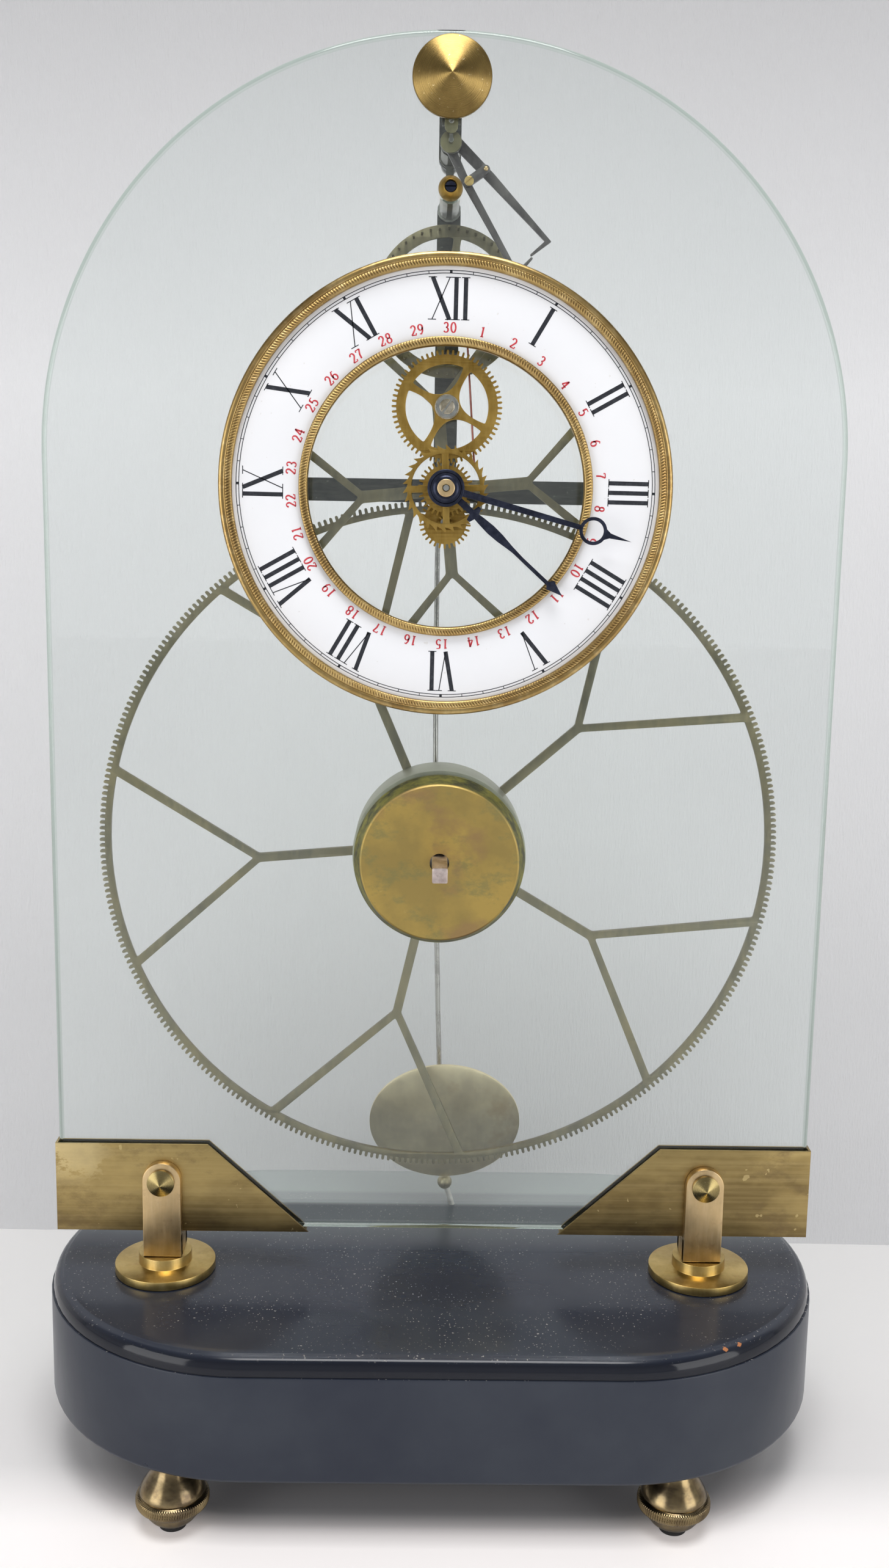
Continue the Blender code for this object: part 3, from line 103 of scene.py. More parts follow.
class Finish:
    def __init__(self, name, roughness=0.4, metallic=0.0, colour=(0.5, 0.5, 0.5)):
        self.material = bpy.data.materials.new(name)
        self.material.use_nodes = True
        self.tree = self.material.node_tree
        self.shader = self.tree.nodes["Principled BSDF"]
        self.feed("Base Color", (*colour, 1))
        self.feed("Roughness", roughness)
        self.feed("Metallic", metallic)
        self.spot = self.node("ShaderNodeTexCoord", output="Object")
        self.facing = self.node("ShaderNodeTexCoord", output="Normal")

    def connect(self, value, socket):
        if isinstance(value, Link):
            self.tree.links.new(value.socket, socket)
        else:
            socket.default_value = value

    def feed(self, name, value):
        self.connect(value, self.shader.inputs[name])

    def node(self, kind, settings={}, inputs={}, output=0):
        made = self.tree.nodes.new(kind)
        for key, value in settings.items():
            setattr(made, key, value)
        for key, value in inputs.items():
            self.connect(value, made.inputs[key])
        return Link(self, made.outputs[output])

    def maths(self, operation, first, second=0.0):
        return self.node("ShaderNodeMath", {"operation": operation}, {0: first, 1: second})

    def moved(self, **how):
        return self.node("ShaderNodeMapping", {}, {"Vector": self.spot, **how})

    # noise with the given number of features to the metre, one number or one for each axis
    def noise(self, density, detail=4.0, rough=0.55, spot=None):
        scale = density if isinstance(density, tuple) else (density,) * 3
        stretched = self.node("ShaderNodeMapping", {}, {"Vector": spot or self.spot, "Scale": scale})
        return self.node("ShaderNodeTexNoise", {}, {"Vector": stretched, "Scale": 1.0, "Detail": detail,
                                                     "Roughness": rough})

    # 0 below low, 1 above high, straight between
    def window(self, value, low, high):
        return self.node("ShaderNodeMapRange", {}, {0: value, 1: low, 2: high})

    def mix(self, mask, first, second):
        first, second = (colour if isinstance(colour, Link) else (*colour, 1) for colour in (first, second))
        return self.node("ShaderNodeMix", {"data_type": "RGBA"}, {0: mask, 6: first, 7: second}, output=2)

    def part(self, vector, axis):
        return self.node("ShaderNodeSeparateXYZ", {}, {0: vector}, output=axis)

    def bump(self, height, depth, strength=1.0):
        self.feed("Normal", self.node("ShaderNodeBump", {}, {"Strength": strength, "Distance": depth,
                                                               "Height": height}))

    # distance from an axis that runs along y through the given point
    def around(self, middle):
        x = self.part(self.spot, 0) - float(middle[0])
        z = self.part(self.spot, 2) - float(middle[2])
        return self.maths("SQRT", x * x + z * z)

    # light passes straight through where the mask is 1, dimmed by the tint
    def opened(self, mask, tint=(1, 1, 1)):
        clear = self.node("ShaderNodeBsdfTransparent", {}, {0: (*tint, 1)})
        surface = Link(self, self.shader.outputs[0])
        blend = self.node("ShaderNodeMixShader", {}, {0: mask, 1: surface, 2: clear})
        self.tree.links.new(blend.socket, self.tree.nodes["Material Output"].inputs[0])


metals = {}


# Clouds between two colours under lighter streaks, with stains and specks where they are asked for; cloud, grain
# and speck are features to the metre
def metal(name, main, dark, light, rough, cloud, grain, streak, stain=None, stainAmount=0.6, speck=None,
          metallic=1.0):
    made = Finish(name + "Metal", metallic=metallic)
    clouds = made.noise(cloud, 5.0, 0.6)
    streaks = made.noise(grain, 6.0, 0.7)
    colour = made.mix(made.window(clouds, 0.35, 0.68), dark, main)
    colour = made.mix(made.window(streaks, 0.42, 0.8) * streak, colour, light)
    if stain:
        blots = made.noise(cloud * 2.3, 8.0, 0.7)
        colour = made.mix(made.window(blots, 0.56, 0.70) * stainAmount, colour, stain)
    if speck:
        specks = made.noise(speck, 2.0, 0.5)
        colour = made.mix((specks > 0.72) * 0.5, colour, light)
    made.feed("Base Color", colour)
    made.feed("Roughness", rough + (clouds - 0.5) * 0.25 + (streaks - 0.5) * 0.15)
    made.bump(streaks, 0.00003, 0.5)
    metals[name] = made.material


metal("bronze", (0.74, 0.54, 0.28), (0.52, 0.38, 0.2), (0.92, 0.76, 0.48), 0.36, 60, (700, 60, 60), 0.3,
      stain=(0.4, 0.24, 0.14))
metal("polished", (0.68, 0.5, 0.19), (0.44, 0.3, 0.09), (0.9, 0.76, 0.4), 0.33, 70, (300, 300, 60), 0.3,
      stain=(0.42, 0.2, 0.08), stainAmount=0.35)
metal("golden", (0.42, 0.275, 0.07), (0.27, 0.165, 0.035), (0.62, 0.45, 0.15), 0.42, 90, (500, 90, 90), 0.35)
metal("wheel", (0.25, 0.215, 0.12), (0.17, 0.162, 0.118), (0.42, 0.375, 0.23), 0.44, 34, (500, 90, 120), 0.45,
      stain=(0.11, 0.1, 0.07))
metal("bob", (0.96, 0.85, 0.57), (0.56, 0.48, 0.31), (1.0, 0.92, 0.68), 0.46, 26, (260, 60, 60), 0.3,
      stain=(0.66, 0.5, 0.26))
metal("drumWall", (0.42, 0.42, 0.33), (0.31, 0.31, 0.24), (0.55, 0.55, 0.45), 0.45, 60, (60, 500, 60), 0.35)
metal("foot", (0.34, 0.25, 0.12), (0.11, 0.08, 0.05), (0.62, 0.5, 0.27), 0.22, 90, (120, 120, 400), 0.35,
      stain=(0.09, 0.06, 0.04))
metal("darkSteel", (0.115, 0.118, 0.108), (0.07, 0.072, 0.068), (0.24, 0.24, 0.21), 0.42, 50, (160, 160, 900), 0.4,
      speck=800)
metal("greySteel", (0.44, 0.44, 0.4), (0.26, 0.27, 0.25), (0.72, 0.72, 0.68), 0.34, 160, (300, 900, 300), 0.4)
metal("palletSteel", (0.135, 0.128, 0.122), (0.085, 0.08, 0.078), (0.26, 0.25, 0.24), 0.42, 120, (700, 120, 300),
      0.4, speck=900)
metal("rod", (0.44, 0.43, 0.41), (0.27, 0.26, 0.25), (0.7, 0.69, 0.66), 0.28, 60, (900, 900, 30), 0.4)
metal("screw", (0.52, 0.47, 0.36), (0.32, 0.28, 0.18), (0.8, 0.77, 0.7), 0.26, 200, (400, 400, 400), 0.4)
metal("cock", (0.24, 0.235, 0.2), (0.14, 0.14, 0.12), (0.42, 0.42, 0.38), 0.36, 160, (300, 900, 300), 0.4)
metal("tail", (0.66, 0.66, 0.62), (0.46, 0.46, 0.43), (0.85, 0.85, 0.8), 0.34, 300, (300, 300, 900), 0.4,
      metallic=0.5)
metal("nut", (0.42, 0.38, 0.25), (0.26, 0.23, 0.14), (0.62, 0.58, 0.44), 0.4, 200, (600, 600, 160), 0.4)
metal("hub", (0.3, 0.28, 0.155), (0.2, 0.185, 0.1), (0.46, 0.43, 0.27), 0.38, 160, (600, 160, 160), 0.4)
metal("key", (0.72, 0.62, 0.58), (0.46, 0.38, 0.36), (0.9, 0.84, 0.8), 0.4, 260, (500, 260, 500), 0.5,
      stain=(0.35, 0.27, 0.24))
metal("blued", (0.04, 0.046, 0.074), (0.022, 0.025, 0.04), (0.1, 0.11, 0.15), 0.36, 160, (600, 90, 600), 0.4)
metal("copper", (0.48, 0.2, 0.16), (0.28, 0.11, 0.09), (0.7, 0.38, 0.3), 0.38, 200, (400, 400, 400), 0.3)


# Black lacquer: a soft dark blue cast on the sides, dust on what faces up, three worn chips on the front edge,
# painted shade on the rounded shoulder of the top edge and a painted reflection of the wall in bands at the rear
# of the top
lacquer = {"main": (0.018, 0.022, 0.036), "haze": (0.036, 0.042, 0.056), "dust": (0.50, 0.47, 0.42),
           "film": (0.410, 0.430, 0.430), "shoulder": (0.006, 0.007, 0.012), "shoulderFrom": 0.0634,
           "chip": (0.42, 0.17, 0.07), "chipRadius": 0.0008,
           "chips": ((0.0985, -0.0668, 0.0690), (0.1040, -0.0635, 0.0690), (0.1015, -0.0700, 0.0672))}


def makeLacquer(s):
    made = Finish("blackLacquer", 0.2)
    up = made.window(made.part(made.facing, 2), 0.5, 0.95)
    cloud = made.noise(14, 5.0, 0.6)
    grain = made.noise((9, 150, 60), 6.0, 0.65)
    specks = made.noise(1100, 1.0, 0.5)
    patch = made.noise((26, 40, 26), 3.0, 0.6)
    dusty = (specks > 0.705) * made.window(patch, 0.42, 0.62) * up
    colour = made.mix(made.window(cloud, 0.35, 0.7), s["main"], s["haze"])
    # painted shade: the rounded shoulder under the top edge is darkened to near black, standing in for the dark
    # room reflected in it
    shoulder = (made.part(made.spot, 2) > s["shoulderFrom"]) * (1 - up)
    colour = made.mix(shoulder * 0.9, colour, s["shoulder"])
    # painted reflection: pale bands across the rear of the upward faces stand in for the wall reflected in the
    # lacquer, stronger towards the back
    depth = made.part(made.spot, 1)
    behind = made.window(depth, 0.041, 0.043) * 0.47 + made.window(depth, 0.051, 0.054) * 0.22 + 0.20
    colour = made.mix(made.window(depth, 0.0, 0.022) * behind * up, colour, s["film"])
    colour = made.mix(dusty * 0.75, colour, s["dust"])
    for chip in s["chips"]:
        away = made.node("ShaderNodeVectorMath", {"operation": "DISTANCE"}, {0: made.spot, 1: chip}, output=1)
        colour = made.mix((away + (specks - 0.5) * 0.002) < s["chipRadius"], colour, s["chip"])
    made.feed("Base Color", colour)
    made.feed("Roughness", 0.30 - up * 0.08 - shoulder * 0.22 + (cloud - 0.5) * 0.12 + dusty * 0.4
              + (grain - 0.5) * 0.10)
    made.bump(grain, 0.00010, 0.35)
    made.feed("Coat Weight", up * 0.06)
    made.feed("Coat Roughness", 0.10)
    made.feed("Specular IOR Level", 0.32)
    return made.material


# Patina of the round cover: yellow brass with green and brown clouds, finger marks and fine scratches
tarnish = {"dull": (0.37, 0.275, 0.095), "fresh": (0.48, 0.345, 0.105), "green": (0.27, 0.245, 0.105),
           "brown": (0.34, 0.22, 0.11), "scratch": (0.75, 0.60, 0.25), "bevel": (27.6 * mm, 27.9 * mm),
           "bevelDark": (0.085, 0.085, 0.045), "bevelLight": (0.34, 0.31, 0.07)}


def makePatina(middle, s):
    made = Finish("patinaBrass", metallic=1.0)
    broad = made.noise(55, 4.0, 0.6)
    wisps = made.noise((70, 70, 110), 8.0, 0.72)
    brown = made.noise((36, 36, 44), 5.0, 0.6, made.moved(Location=(0.4, 0.1, 0.7)))
    scratch = made.noise((260, 60, 2400), 3.0, 0.8, made.moved(Rotation=(0, 0.5, 0)))
    colour = made.mix(made.window(broad, 0.38, 0.62), s["dull"], s["fresh"])
    colour = made.mix(made.window(wisps, 0.53, 0.62) * 0.7, colour, s["green"])
    colour = made.mix(made.window(brown, 0.53, 0.63) * 0.7, colour, s["brown"])
    colour = made.mix(made.window(scratch, 0.66, 0.80) * 0.5, colour, s["scratch"])
    bevel = made.window(made.around(middle), *s["bevel"])
    dark = made.noise((130, 300, 130), 5.0, 0.7)
    bevelColour = made.mix(made.window(dark, 0.40, 0.66), s["bevelDark"], s["bevelLight"])
    made.feed("Base Color", made.mix(bevel, colour, bevelColour))
    made.feed("Roughness", 0.46 + (wisps - 0.5) * 0.35)
    made.bump(scratch + wisps * 0.5, 0.00003, 0.5)
    return made.material


# Spun brass: fine rings round the middle catch the light in rays
def makeSpun(name, middle, light, dark, spacing):
    made = Finish(name, metallic=1.0)
    radius = made.around(middle)
    ring = made.node("ShaderNodeTexNoise", {"noise_dimensions": "1D"}, {"W": radius * (1 / spacing), "Scale": 1.0,
                                                                        "Detail": 3.0})
    cloud = made.noise(120, 4.0, 0.6)
    speck = made.noise(900, 2.0, 0.6)
    colour = made.mix(made.window(cloud, 0.3, 0.7), dark, light)
    colour = made.mix((speck > 0.7) * 0.35, colour, (0.95, 0.80, 0.50))
    made.feed("Base Color", colour)
    made.feed("Roughness", 0.27 + (ring - 0.5) * 0.08)
    made.bump(ring, spacing * 0.10, 0.5)
    return made.material


# Rings that a cutting tool leaves between two points of a profile: small steps up and down, square to the line
def grooves(start, end, count, depth):
    start, end = np.array(start, float), np.array(end, float)
    ahead = (end - start) / np.linalg.norm(end - start)
    t = np.linspace(0, 1, 2 * count + 1)[:, None]
    height = np.where(np.arange(2 * count + 1) % 2 == 0, -depth, 0)[:, None]
    height[[0, -1]] = 0
    return (start + t * (end - start) + height * np.array([-ahead[1], ahead[0]])).tolist()


def makeEnamel():
    made = Finish("whiteEnamel", 0.22)
    cloud = made.noise(30, 3.0, 0.5)
    speck = made.noise(650, 1.0, 0.5)
    colour = made.mix(cloud, (0.78, 0.79, 0.815), (0.835, 0.835, 0.85))
    made.feed("Base Color", made.mix((speck > 0.79) * 0.35, colour, (0.60, 0.57, 0.53)))
    made.feed("Roughness", 0.20 + (cloud - 0.5) * 0.1)
    made.bump(cloud, 0.0001, 0.2)
    return made.material


def makeInk(name, main, faded):
    made = Finish(name, 0.45)
    wear = made.noise(900, 3.0, 0.6)
    made.feed("Base Color", made.mix(made.window(wear, 0.5, 0.75), main, faded))
    made.feed("Roughness", 0.4 + (wear - 0.5) * 0.2)
    return made.material


# Clear glass: light passes straight through to what stands behind it, so that it lies in no false shade
def makeGlass(name, tint, roughness, shade):
    made = Finish(name, roughness, 0.0, tint)
    made.feed("Transmission Weight", 1.0)
    made.feed("IOR", 1.46)
    smear = made.noise((12, 12, 30), 4.0, 0.6)
    made.feed("Roughness", roughness + smear * 0.02)
    made.opened(made.node("ShaderNodeLightPath", output="Is Shadow Ray"), shade)
    return made.material


def makeFelt():
    made = Finish("blackPad", 0.8)
    fibre = made.noise(1500, 3.0, 0.6)
    made.feed("Base Color", made.mix(fibre, (0.008, 0.008, 0.009), (0.035, 0.033, 0.032)))
    made.bump(fibre, 0.0001, 0.6)
    return made.material


# Gilt whose ribs are bright on top, with painted shade that darkens the hollows between them to a dull brown
def makeRopedGilt():
    made = Finish("ropedGilt", metallic=1.0)
    hollow = made.node("ShaderNodeAttribute", {"attribute_name": "hollow"}, output=2)
    cloud = made.noise(45, 5.0, 0.6)
    streak = made.noise(260, 6.0, 0.7)
    colour = made.mix(made.window(cloud, 0.35, 0.68), (0.32, 0.205, 0.075), (0.46, 0.325, 0.125))
    colour = made.mix(made.window(streak, 0.48, 0.75) * 0.5, colour, (0.74, 0.58, 0.30))
    # painted shade: the hollows between the ribs are darkened towards dull brown
    made.feed("Base Color", made.mix(made.window(hollow, 0.15, 0.9) * 0.85, colour, (0.12, 0.07, 0.03)))
    made.feed("Roughness", 0.30 + hollow * 0.25 + (cloud - 0.5) * 0.2)
    made.bump(streak, 0.00003, 0.4)
    return made.material


ropedGilt = makeRopedGilt()
enamel = makeEnamel()
blackInk = makeInk("blackInk", (0.012, 0.014, 0.020), (0.035, 0.038, 0.048))
redInk = makeInk("redInk", (0.52, 0.035, 0.050), (0.66, 0.12, 0.13))
clearGlass = makeGlass("clearGlass", (0.945, 0.980, 0.966), 0.0, (0.93, 0.955, 0.945))
edgeGlass = makeGlass("edgeGlass", (0.66, 0.76, 0.70), 0.03, (0.80, 0.90, 0.88))
blackPad = makeFelt()
blackLacquer = makeLacquer(lacquer)
patina = makePatina(axle["great_turn"], tarnish)
print("finishes made:", len(bpy.data.materials))


# Mesh builders

def tidyMesh(mesh, angle):  # closes seams and poles and turns every face outward
    work = bmesh.new()
    work.from_mesh(mesh)
    bmesh.ops.remove_doubles(work, verts=work.verts, dist=3e-6)
    bmesh.ops.dissolve_degenerate(work, edges=work.edges, dist=1e-6)
    bmesh.ops.recalc_face_normals(work, faces=work.faces)
    work.to_mesh(mesh)
    work.free()
    mesh.shade_smooth()
    mesh.set_sharp_from_angle(angle=radians(angle))


def finished(name, mesh, finish, body, replaced=(), angle=35):
    tidyMesh(mesh, angle)
    mesh.name = name
    mesh.materials.clear()
    mesh.materials.append(finish)
    piece = bpy.data.objects.new(name, mesh)
    bpy.context.scene.collection.objects.link(piece)
    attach(piece, body)
    if replaced:
        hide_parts(*replaced)
    return piece


def meshOf(points, faces):
    mesh = bpy.data.meshes.new("mesh")
    mesh.from_pydata(points.tolist(), [], faces)
    return mesh


# Rows of points joined into squares; each row closes on itself, and aroundRows closes the last row on the first
def gridMesh(points, aroundRows=False):
    rows, columns = points.shape[:2]
    index = np.arange(rows * columns).reshape(rows, columns)
    if aroundRows:
        index = np.vstack([index, index[:1]])
    index = np.hstack([index, index[:, :1]])
    quads = np.stack([index[:-1, :-1], index[:-1, 1:], index[1:, 1:], index[1:, :-1]], -1).reshape(-1, 4)
    return meshOf(points.reshape(-1, 3), quads.tolist())


# Each corner becomes a short curve: the blend (1-t)^2 A + 2t(1-t) P + t^2 B between points a little way along
# its sides
def softened(outline, reach, steps=4, onAxis=False):
    corner = np.array(outline, float)
    before, after = np.roll(corner, 1, 0) - corner, np.roll(corner, -1, 0) - corner
    lengthBefore = np.linalg.norm(before, axis=1, keepdims=True) + 1e-12
    lengthAfter = np.linalg.norm(after, axis=1, keepdims=True) + 1e-12
    reach = np.full((len(corner), 1), reach)
    if onAxis:
        reach[corner[:, 0] < 1e-9] = 0
    start = corner + before / lengthBefore * np.minimum(reach, lengthBefore * 0.48)
    end = corner + after / lengthAfter * np.minimum(reach, lengthAfter * 0.48)
    t = np.linspace(0, 1, steps)[None, :, None]
    curve = (1 - t) ** 2 * start[:, None] + 2 * t * (1 - t) * corner[:, None] + t ** 2 * end[:, None]
    return curve.reshape(-1, 2)


# Each (radius, along) of the profile goes round the axis; swell adds to the radius at each angle
def turnedMesh(profile, middle, sides=96, axis="y", swell=0.0):
    profile = np.array(profile, float)
    turn = fullTurn(sides)
    radius = profile[:, :1] + swell
    across, up = radius * np.sin(turn), radius * np.cos(turn)
    along = np.repeat(profile[:, 1:], sides, 1)
    order = (across, along, up) if axis == "y" else (across, up, along)
    return gridMesh(np.stack(order, -1) + np.array(middle), aroundRows=True)


# A flat outline with holes, given thickness along y and a small rounding on its edges
def flatMesh(loops, front, back, middle, rounding=0.10 * mm, steps=1):
    curve = bpy.data.curves.new("outline", "CURVE")
    curve.dimensions, curve.fill_mode = "2D", "BOTH"
    for loop in loops:
        loop = np.array(loop, float)
        spline = curve.splines.new("POLY")
        spline.points.add(len(loop) - 1)
        flat = np.zeros((len(loop), 4))
        flat[:, :2], flat[:, 3] = loop * 1000, 1
        spline.points.foreach_set("co", flat.ravel())
        spline.use_cyclic_u = True
    curve.extrude = (back - front) / 2 * 1000 - rounding * 1000
    curve.bevel_depth, curve.bevel_resolution, curve.offset = rounding * 1000, steps, -rounding * 1000
    drawn = bpy.data.objects.new("outline", curve)
    bpy.context.scene.collection.objects.link(drawn)
    mesh = bpy.data.meshes.new_from_object(drawn.evaluated_get(bpy.context.evaluated_depsgraph_get()))
    bpy.data.objects.remove(drawn)
    bpy.data.curves.remove(curve)
    place = np.empty(len(mesh.vertices) * 3)
    mesh.vertices.foreach_get("co", place)
    place = place.reshape(-1, 3) / 1000
    turned = np.stack([place[:, 0], (front + back) / 2 - place[:, 2], place[:, 1]], -1) + np.array(middle)
    mesh.vertices.foreach_set("co", turned.ravel())
    return mesh


def joined(meshes):
    points, faces, start = [], [], 0
    for mesh in meshes:
        place = np.empty(len(mesh.vertices) * 3)
        mesh.vertices.foreach_get("co", place)
        points.append(place.reshape(-1, 3))
        faces += [tuple(v + start for v in face.vertices) for face in mesh.polygons]
        start += len(mesh.vertices)
        bpy.data.meshes.remove(mesh)
    return meshOf(np.vstack(points), faces)


# A thin raised mark: each stroke is a path with half widths, laid flat and given a little height towards -y
def strokeMesh(strokes, front, back, middle):
    points, faces, start = [], [], 0
    for path, half in strokes:
        path = np.array(path, float)
        half = np.broadcast_to(np.array(half, float), len(path))[:, None]
        ahead = np.gradient(path, axis=0)
        ahead /= np.linalg.norm(ahead, axis=1, keepdims=True)
        side = np.stack([-ahead[:, 1], ahead[:, 0]], -1) * half
        ring = np.stack([path - side, path + side, path + side, path - side], 1)
        depth = np.broadcast_to(np.array([front, front, back, back]), ring.shape[:2])
        points.append(np.stack([ring[..., 0], depth, ring[..., 1]], -1).reshape(-1, 3))
        count = len(path)
        index = start + np.arange(count * 4).reshape(count, 4)
        wrapped = np.hstack([index, index[:, :1]])
        quads = np.stack([wrapped[:-1, :-1], wrapped[:-1, 1:], wrapped[1:, 1:], wrapped[1:, :-1]], -1)
        faces += quads.reshape(-1, 4).tolist() + [index[0].tolist(), index[-1][::-1].tolist()]
        start += count * 4
    return meshOf(np.vstack(points) + np.array(middle), faces)


def fullTurn(count):
    return np.linspace(0, 2 * pi, count, endpoint=False)


def polar(radius, angle, middle=(0, 0)):  # clockwise from the top
    return np.stack([middle[0] + radius * np.sin(angle), middle[1] + radius * np.cos(angle)], -1)


def arc(radius, start, end, count, middle=(0, 0)):
    return polar(radius, np.linspace(start, end, count), middle)


def circle(radius, count=48, middle=(0, 0)):
    return polar(radius, fullTurn(count), middle)


def swung(points, angle):
    points = np.array(points, float)
    return np.stack([points[:, 0] * cos(angle) + points[:, 1] * sin(angle),
                     points[:, 1] * cos(angle) - points[:, 0] * sin(angle)], -1)


# Every tooth repeats the same few points, given as shares of its pitch and of its height
def gearOutline(teeth, root, tip, shape, turn=0.0):
    shape = np.array(shape, float)
    pitch = 2 * pi / teeth
    angle = turn + pitch * (np.arange(teeth)[:, None] + shape[None, :, 0])
    radius = np.broadcast_to(root + (tip - root) * shape[:, 1], angle.shape)
    return polar(radius.ravel(), angle.ravel())


roundTooth = ((-0.27, 0.0), (-0.22, 0.12), (-0.205, 0.72), (-0.13, 0.95), (0.0, 1.0), (0.13, 0.95),
              (0.205, 0.72), (0.22, 0.12), (0.27, 0.0))
squareTooth = ((-0.29, 0.0), (-0.25, 0.12), (-0.24, 0.72), (-0.15, 0.96), (0.0, 1.0), (0.15, 0.96), (0.24, 0.72),
               (0.25, 0.12), (0.29, 0.0))


# The openings between spokes that fork into two arms before the rim
def forkedWindows(s):
    windows, pitch = [], 2 * pi / s["spokes"]
    end = polar(s["rim"], s["spread"])
    lean = atan2(end[0], end[1] - s["fork"])
    innerZ = s["fork"] + s["arm"] / 2 / sin(lean)
    rimTurn = asin(s["arm"] / 2 / cos(lean) / s["rim"])
    crotchZ = max(s["hub"], s["fork"] - s["arm"] / 2 / sin(lean) + s["spoke"] / 2 / tan(lean))
    nearHub = asin(s["spoke"] / 2 / s["hub"])
    for k in range(s["spokes"]):
        spoke = s["turn"] + pitch * k
        following = spoke + pitch
        fork = np.vstack([[(0, innerZ)], arc(s["rim"], s["spread"] - rimTurn, rimTurn - s["spread"], 16)])
        windows.append(softened(swung(fork, spoke), s["corner"]))
        side = np.vstack([swung([(s["spoke"] / 2, crotchZ)], spoke),
                          arc(s["rim"], spoke + s["spread"] + rimTurn, following - s["spread"] - rimTurn, 20),
                          swung([(-s["spoke"] / 2, crotchZ)], following),
                          arc(s["hub"], following - nearHub, spoke + nearHub, 10)])
        windows.append(softened(side, s["corner"]))
    return windows


def straightWindows(s):
    windows, pitch = [], 2 * pi / s["spokes"]
    outer, inner = asin(s["width"] / 2 / s["rim"]), asin(s["width"] / 2 / s["hub"])
    for k in range(s["spokes"]):
        start = s["turn"] + pitch * k
        loop = np.vstack([arc(s["rim"], start + outer, start + pitch - outer, 16),
                          arc(s["hub"], start + pitch - inner, start + inner, 8)])
        windows.append(softened(loop, s["corner"]))
    return windows


# Crescents: the rim's arc, and between its ends the curve (1-t)^2 A + 2t(1-t) C + t^2 B that swings past the hub
def crescentWindows(s):
    windows, pitch, rim = [], 2 * pi / s["spokes"], s["rim"]
    near = asin(s["width"] / 2 / rim)
    t = np.linspace(0, 1, 24)[:, None]
    for k in range(s["spokes"]):
        start, end = s["turn"] + pitch * k + near, s["turn"] + pitch * (k + 1) - near
        first, last = polar(rim, end), polar(rim, start)
        reach = 2 * s["hub"] - rim * cos((end - start) / 2)
        control = polar(reach, (start + end) / 2)
        inner = (1 - t) ** 2 * first + 2 * t * (1 - t) * control + t ** 2 * last
        windows.append(softened(np.vstack([arc(rim, start, end, 24)[:-1], inner[:-1]]), s["corner"], 3))
    return windows


# The outline of a bar whose half width changes from point to point of its path, mitred at the bends
def tapered(path, halves):
    path, halves = np.array(path, float), np.array(halves, float)[:, None]
    ahead = np.diff(path, axis=0)
    ahead /= np.linalg.norm(ahead, axis=1, keepdims=True)
    side = np.stack([-ahead[:, 1], ahead[:, 0]], -1)
    before, after = np.vstack([side[:1], side]), np.vstack([side, side[-1:]])
    mitre = (before + after) / (1 + (before * after).sum(1, keepdims=True))
    return np.vstack([path + mitre * halves, (path - mitre * halves)[::-1]])


# A round head cut across by a slot: two segments of a disc that stand on a thinner disc
def slottedHead(radius, slot, front, back, place, angle):
    far = asin(slot / 2 / radius)
    segment = arc(radius, far, pi - far, 20)
    floor = front + (back - front) * 0.55
    halves = [flatMesh([swung(segment, angle + turn)], front, back, place, radius * 0.10) for turn in (0, pi)]
    return halves + [turnedMesh(rod(radius * 0.96, floor, back), place, 32)]


def ringProfile(inner, outer, front, back):
    return [(inner, front), (outer, front), (outer, back), (inner, back)]


def rod(radius, front, back):
    return [(0, front), (radius, front), (radius, back), (0, back)]


def boxOf(node):
    low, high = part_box(node)
    return np.array(low), np.array(high)


# Base: a stadium outline drawn in by the profile's inset at each height
base = {"depth": 156.6 * mm, "lowEdge": 2 * mm, "roundSteps": 40, "straightSteps": 12,
        "ledge": 0.7 * mm, "ovolo": 4.4 * mm, "ovoloDrop": 6.6 * mm, "lip": 0.5 * mm}


def makeBase(s):
    low, high = boxOf("wood_base")
    bottom, top = low[2], high[2]
    turn = np.linspace(0, pi / 2, 12)
    quarter = np.stack([s["ledge"] + (s["ovolo"] - s["ledge"] - s["lip"]) * (1 - np.cos(turn)),
                        top - s["lip"] - (s["ovoloDrop"] - s["lip"]) * (1 - np.sin(turn))], -1)
    lowEdge = np.stack([s["lowEdge"] * (1 - np.sin(turn)), bottom + s["lowEdge"] * (1 - np.cos(turn))], -1)
    deepest = s["depth"] / 2 - 0.02 * mm
    profile = np.vstack([[(deepest, bottom)], lowEdge,
                         [(0, top - s["ovoloDrop"] - s["lip"]), (0.25 * s["ledge"], top - s["ovoloDrop"])],
                         quarter,
                         [(s["ovolo"], top - 0.25 * s["lip"]), (s["ovolo"] + s["lip"], top),
                          (s["ovolo"] + 3 * mm, top), (deepest, top)]])
    halfLength, halfDepth = (high[0] - low[0]) / 2, (high[1] - low[1]) / 2
    around = np.linspace(-pi / 2, pi / 2, s["roundSteps"])
    straight = np.linspace(1, -1, s["straightSteps"] + 2)[1:-1]
    core = halfLength - halfDepth
    flat, ends = np.zeros(len(straight)), np.full(len(around), core)
    dirX = np.concatenate([np.cos(around), flat, -np.cos(around), flat])
    dirY = np.concatenate([np.sin(around), flat + 1, -np.sin(around), flat - 1])
    centreX = np.concatenate([ends, straight * core, -ends, -straight * core])
    reach = halfDepth - profile[:, :1]
    points = np.stack([centreX + reach * dirX, reach * dirY, np.repeat(profile[:, 1:], len(dirX), 1)], -1)
    finished("base", gridMesh(points), blackLacquer, "stand", ["wood_base"], 30)


makeBase(base)


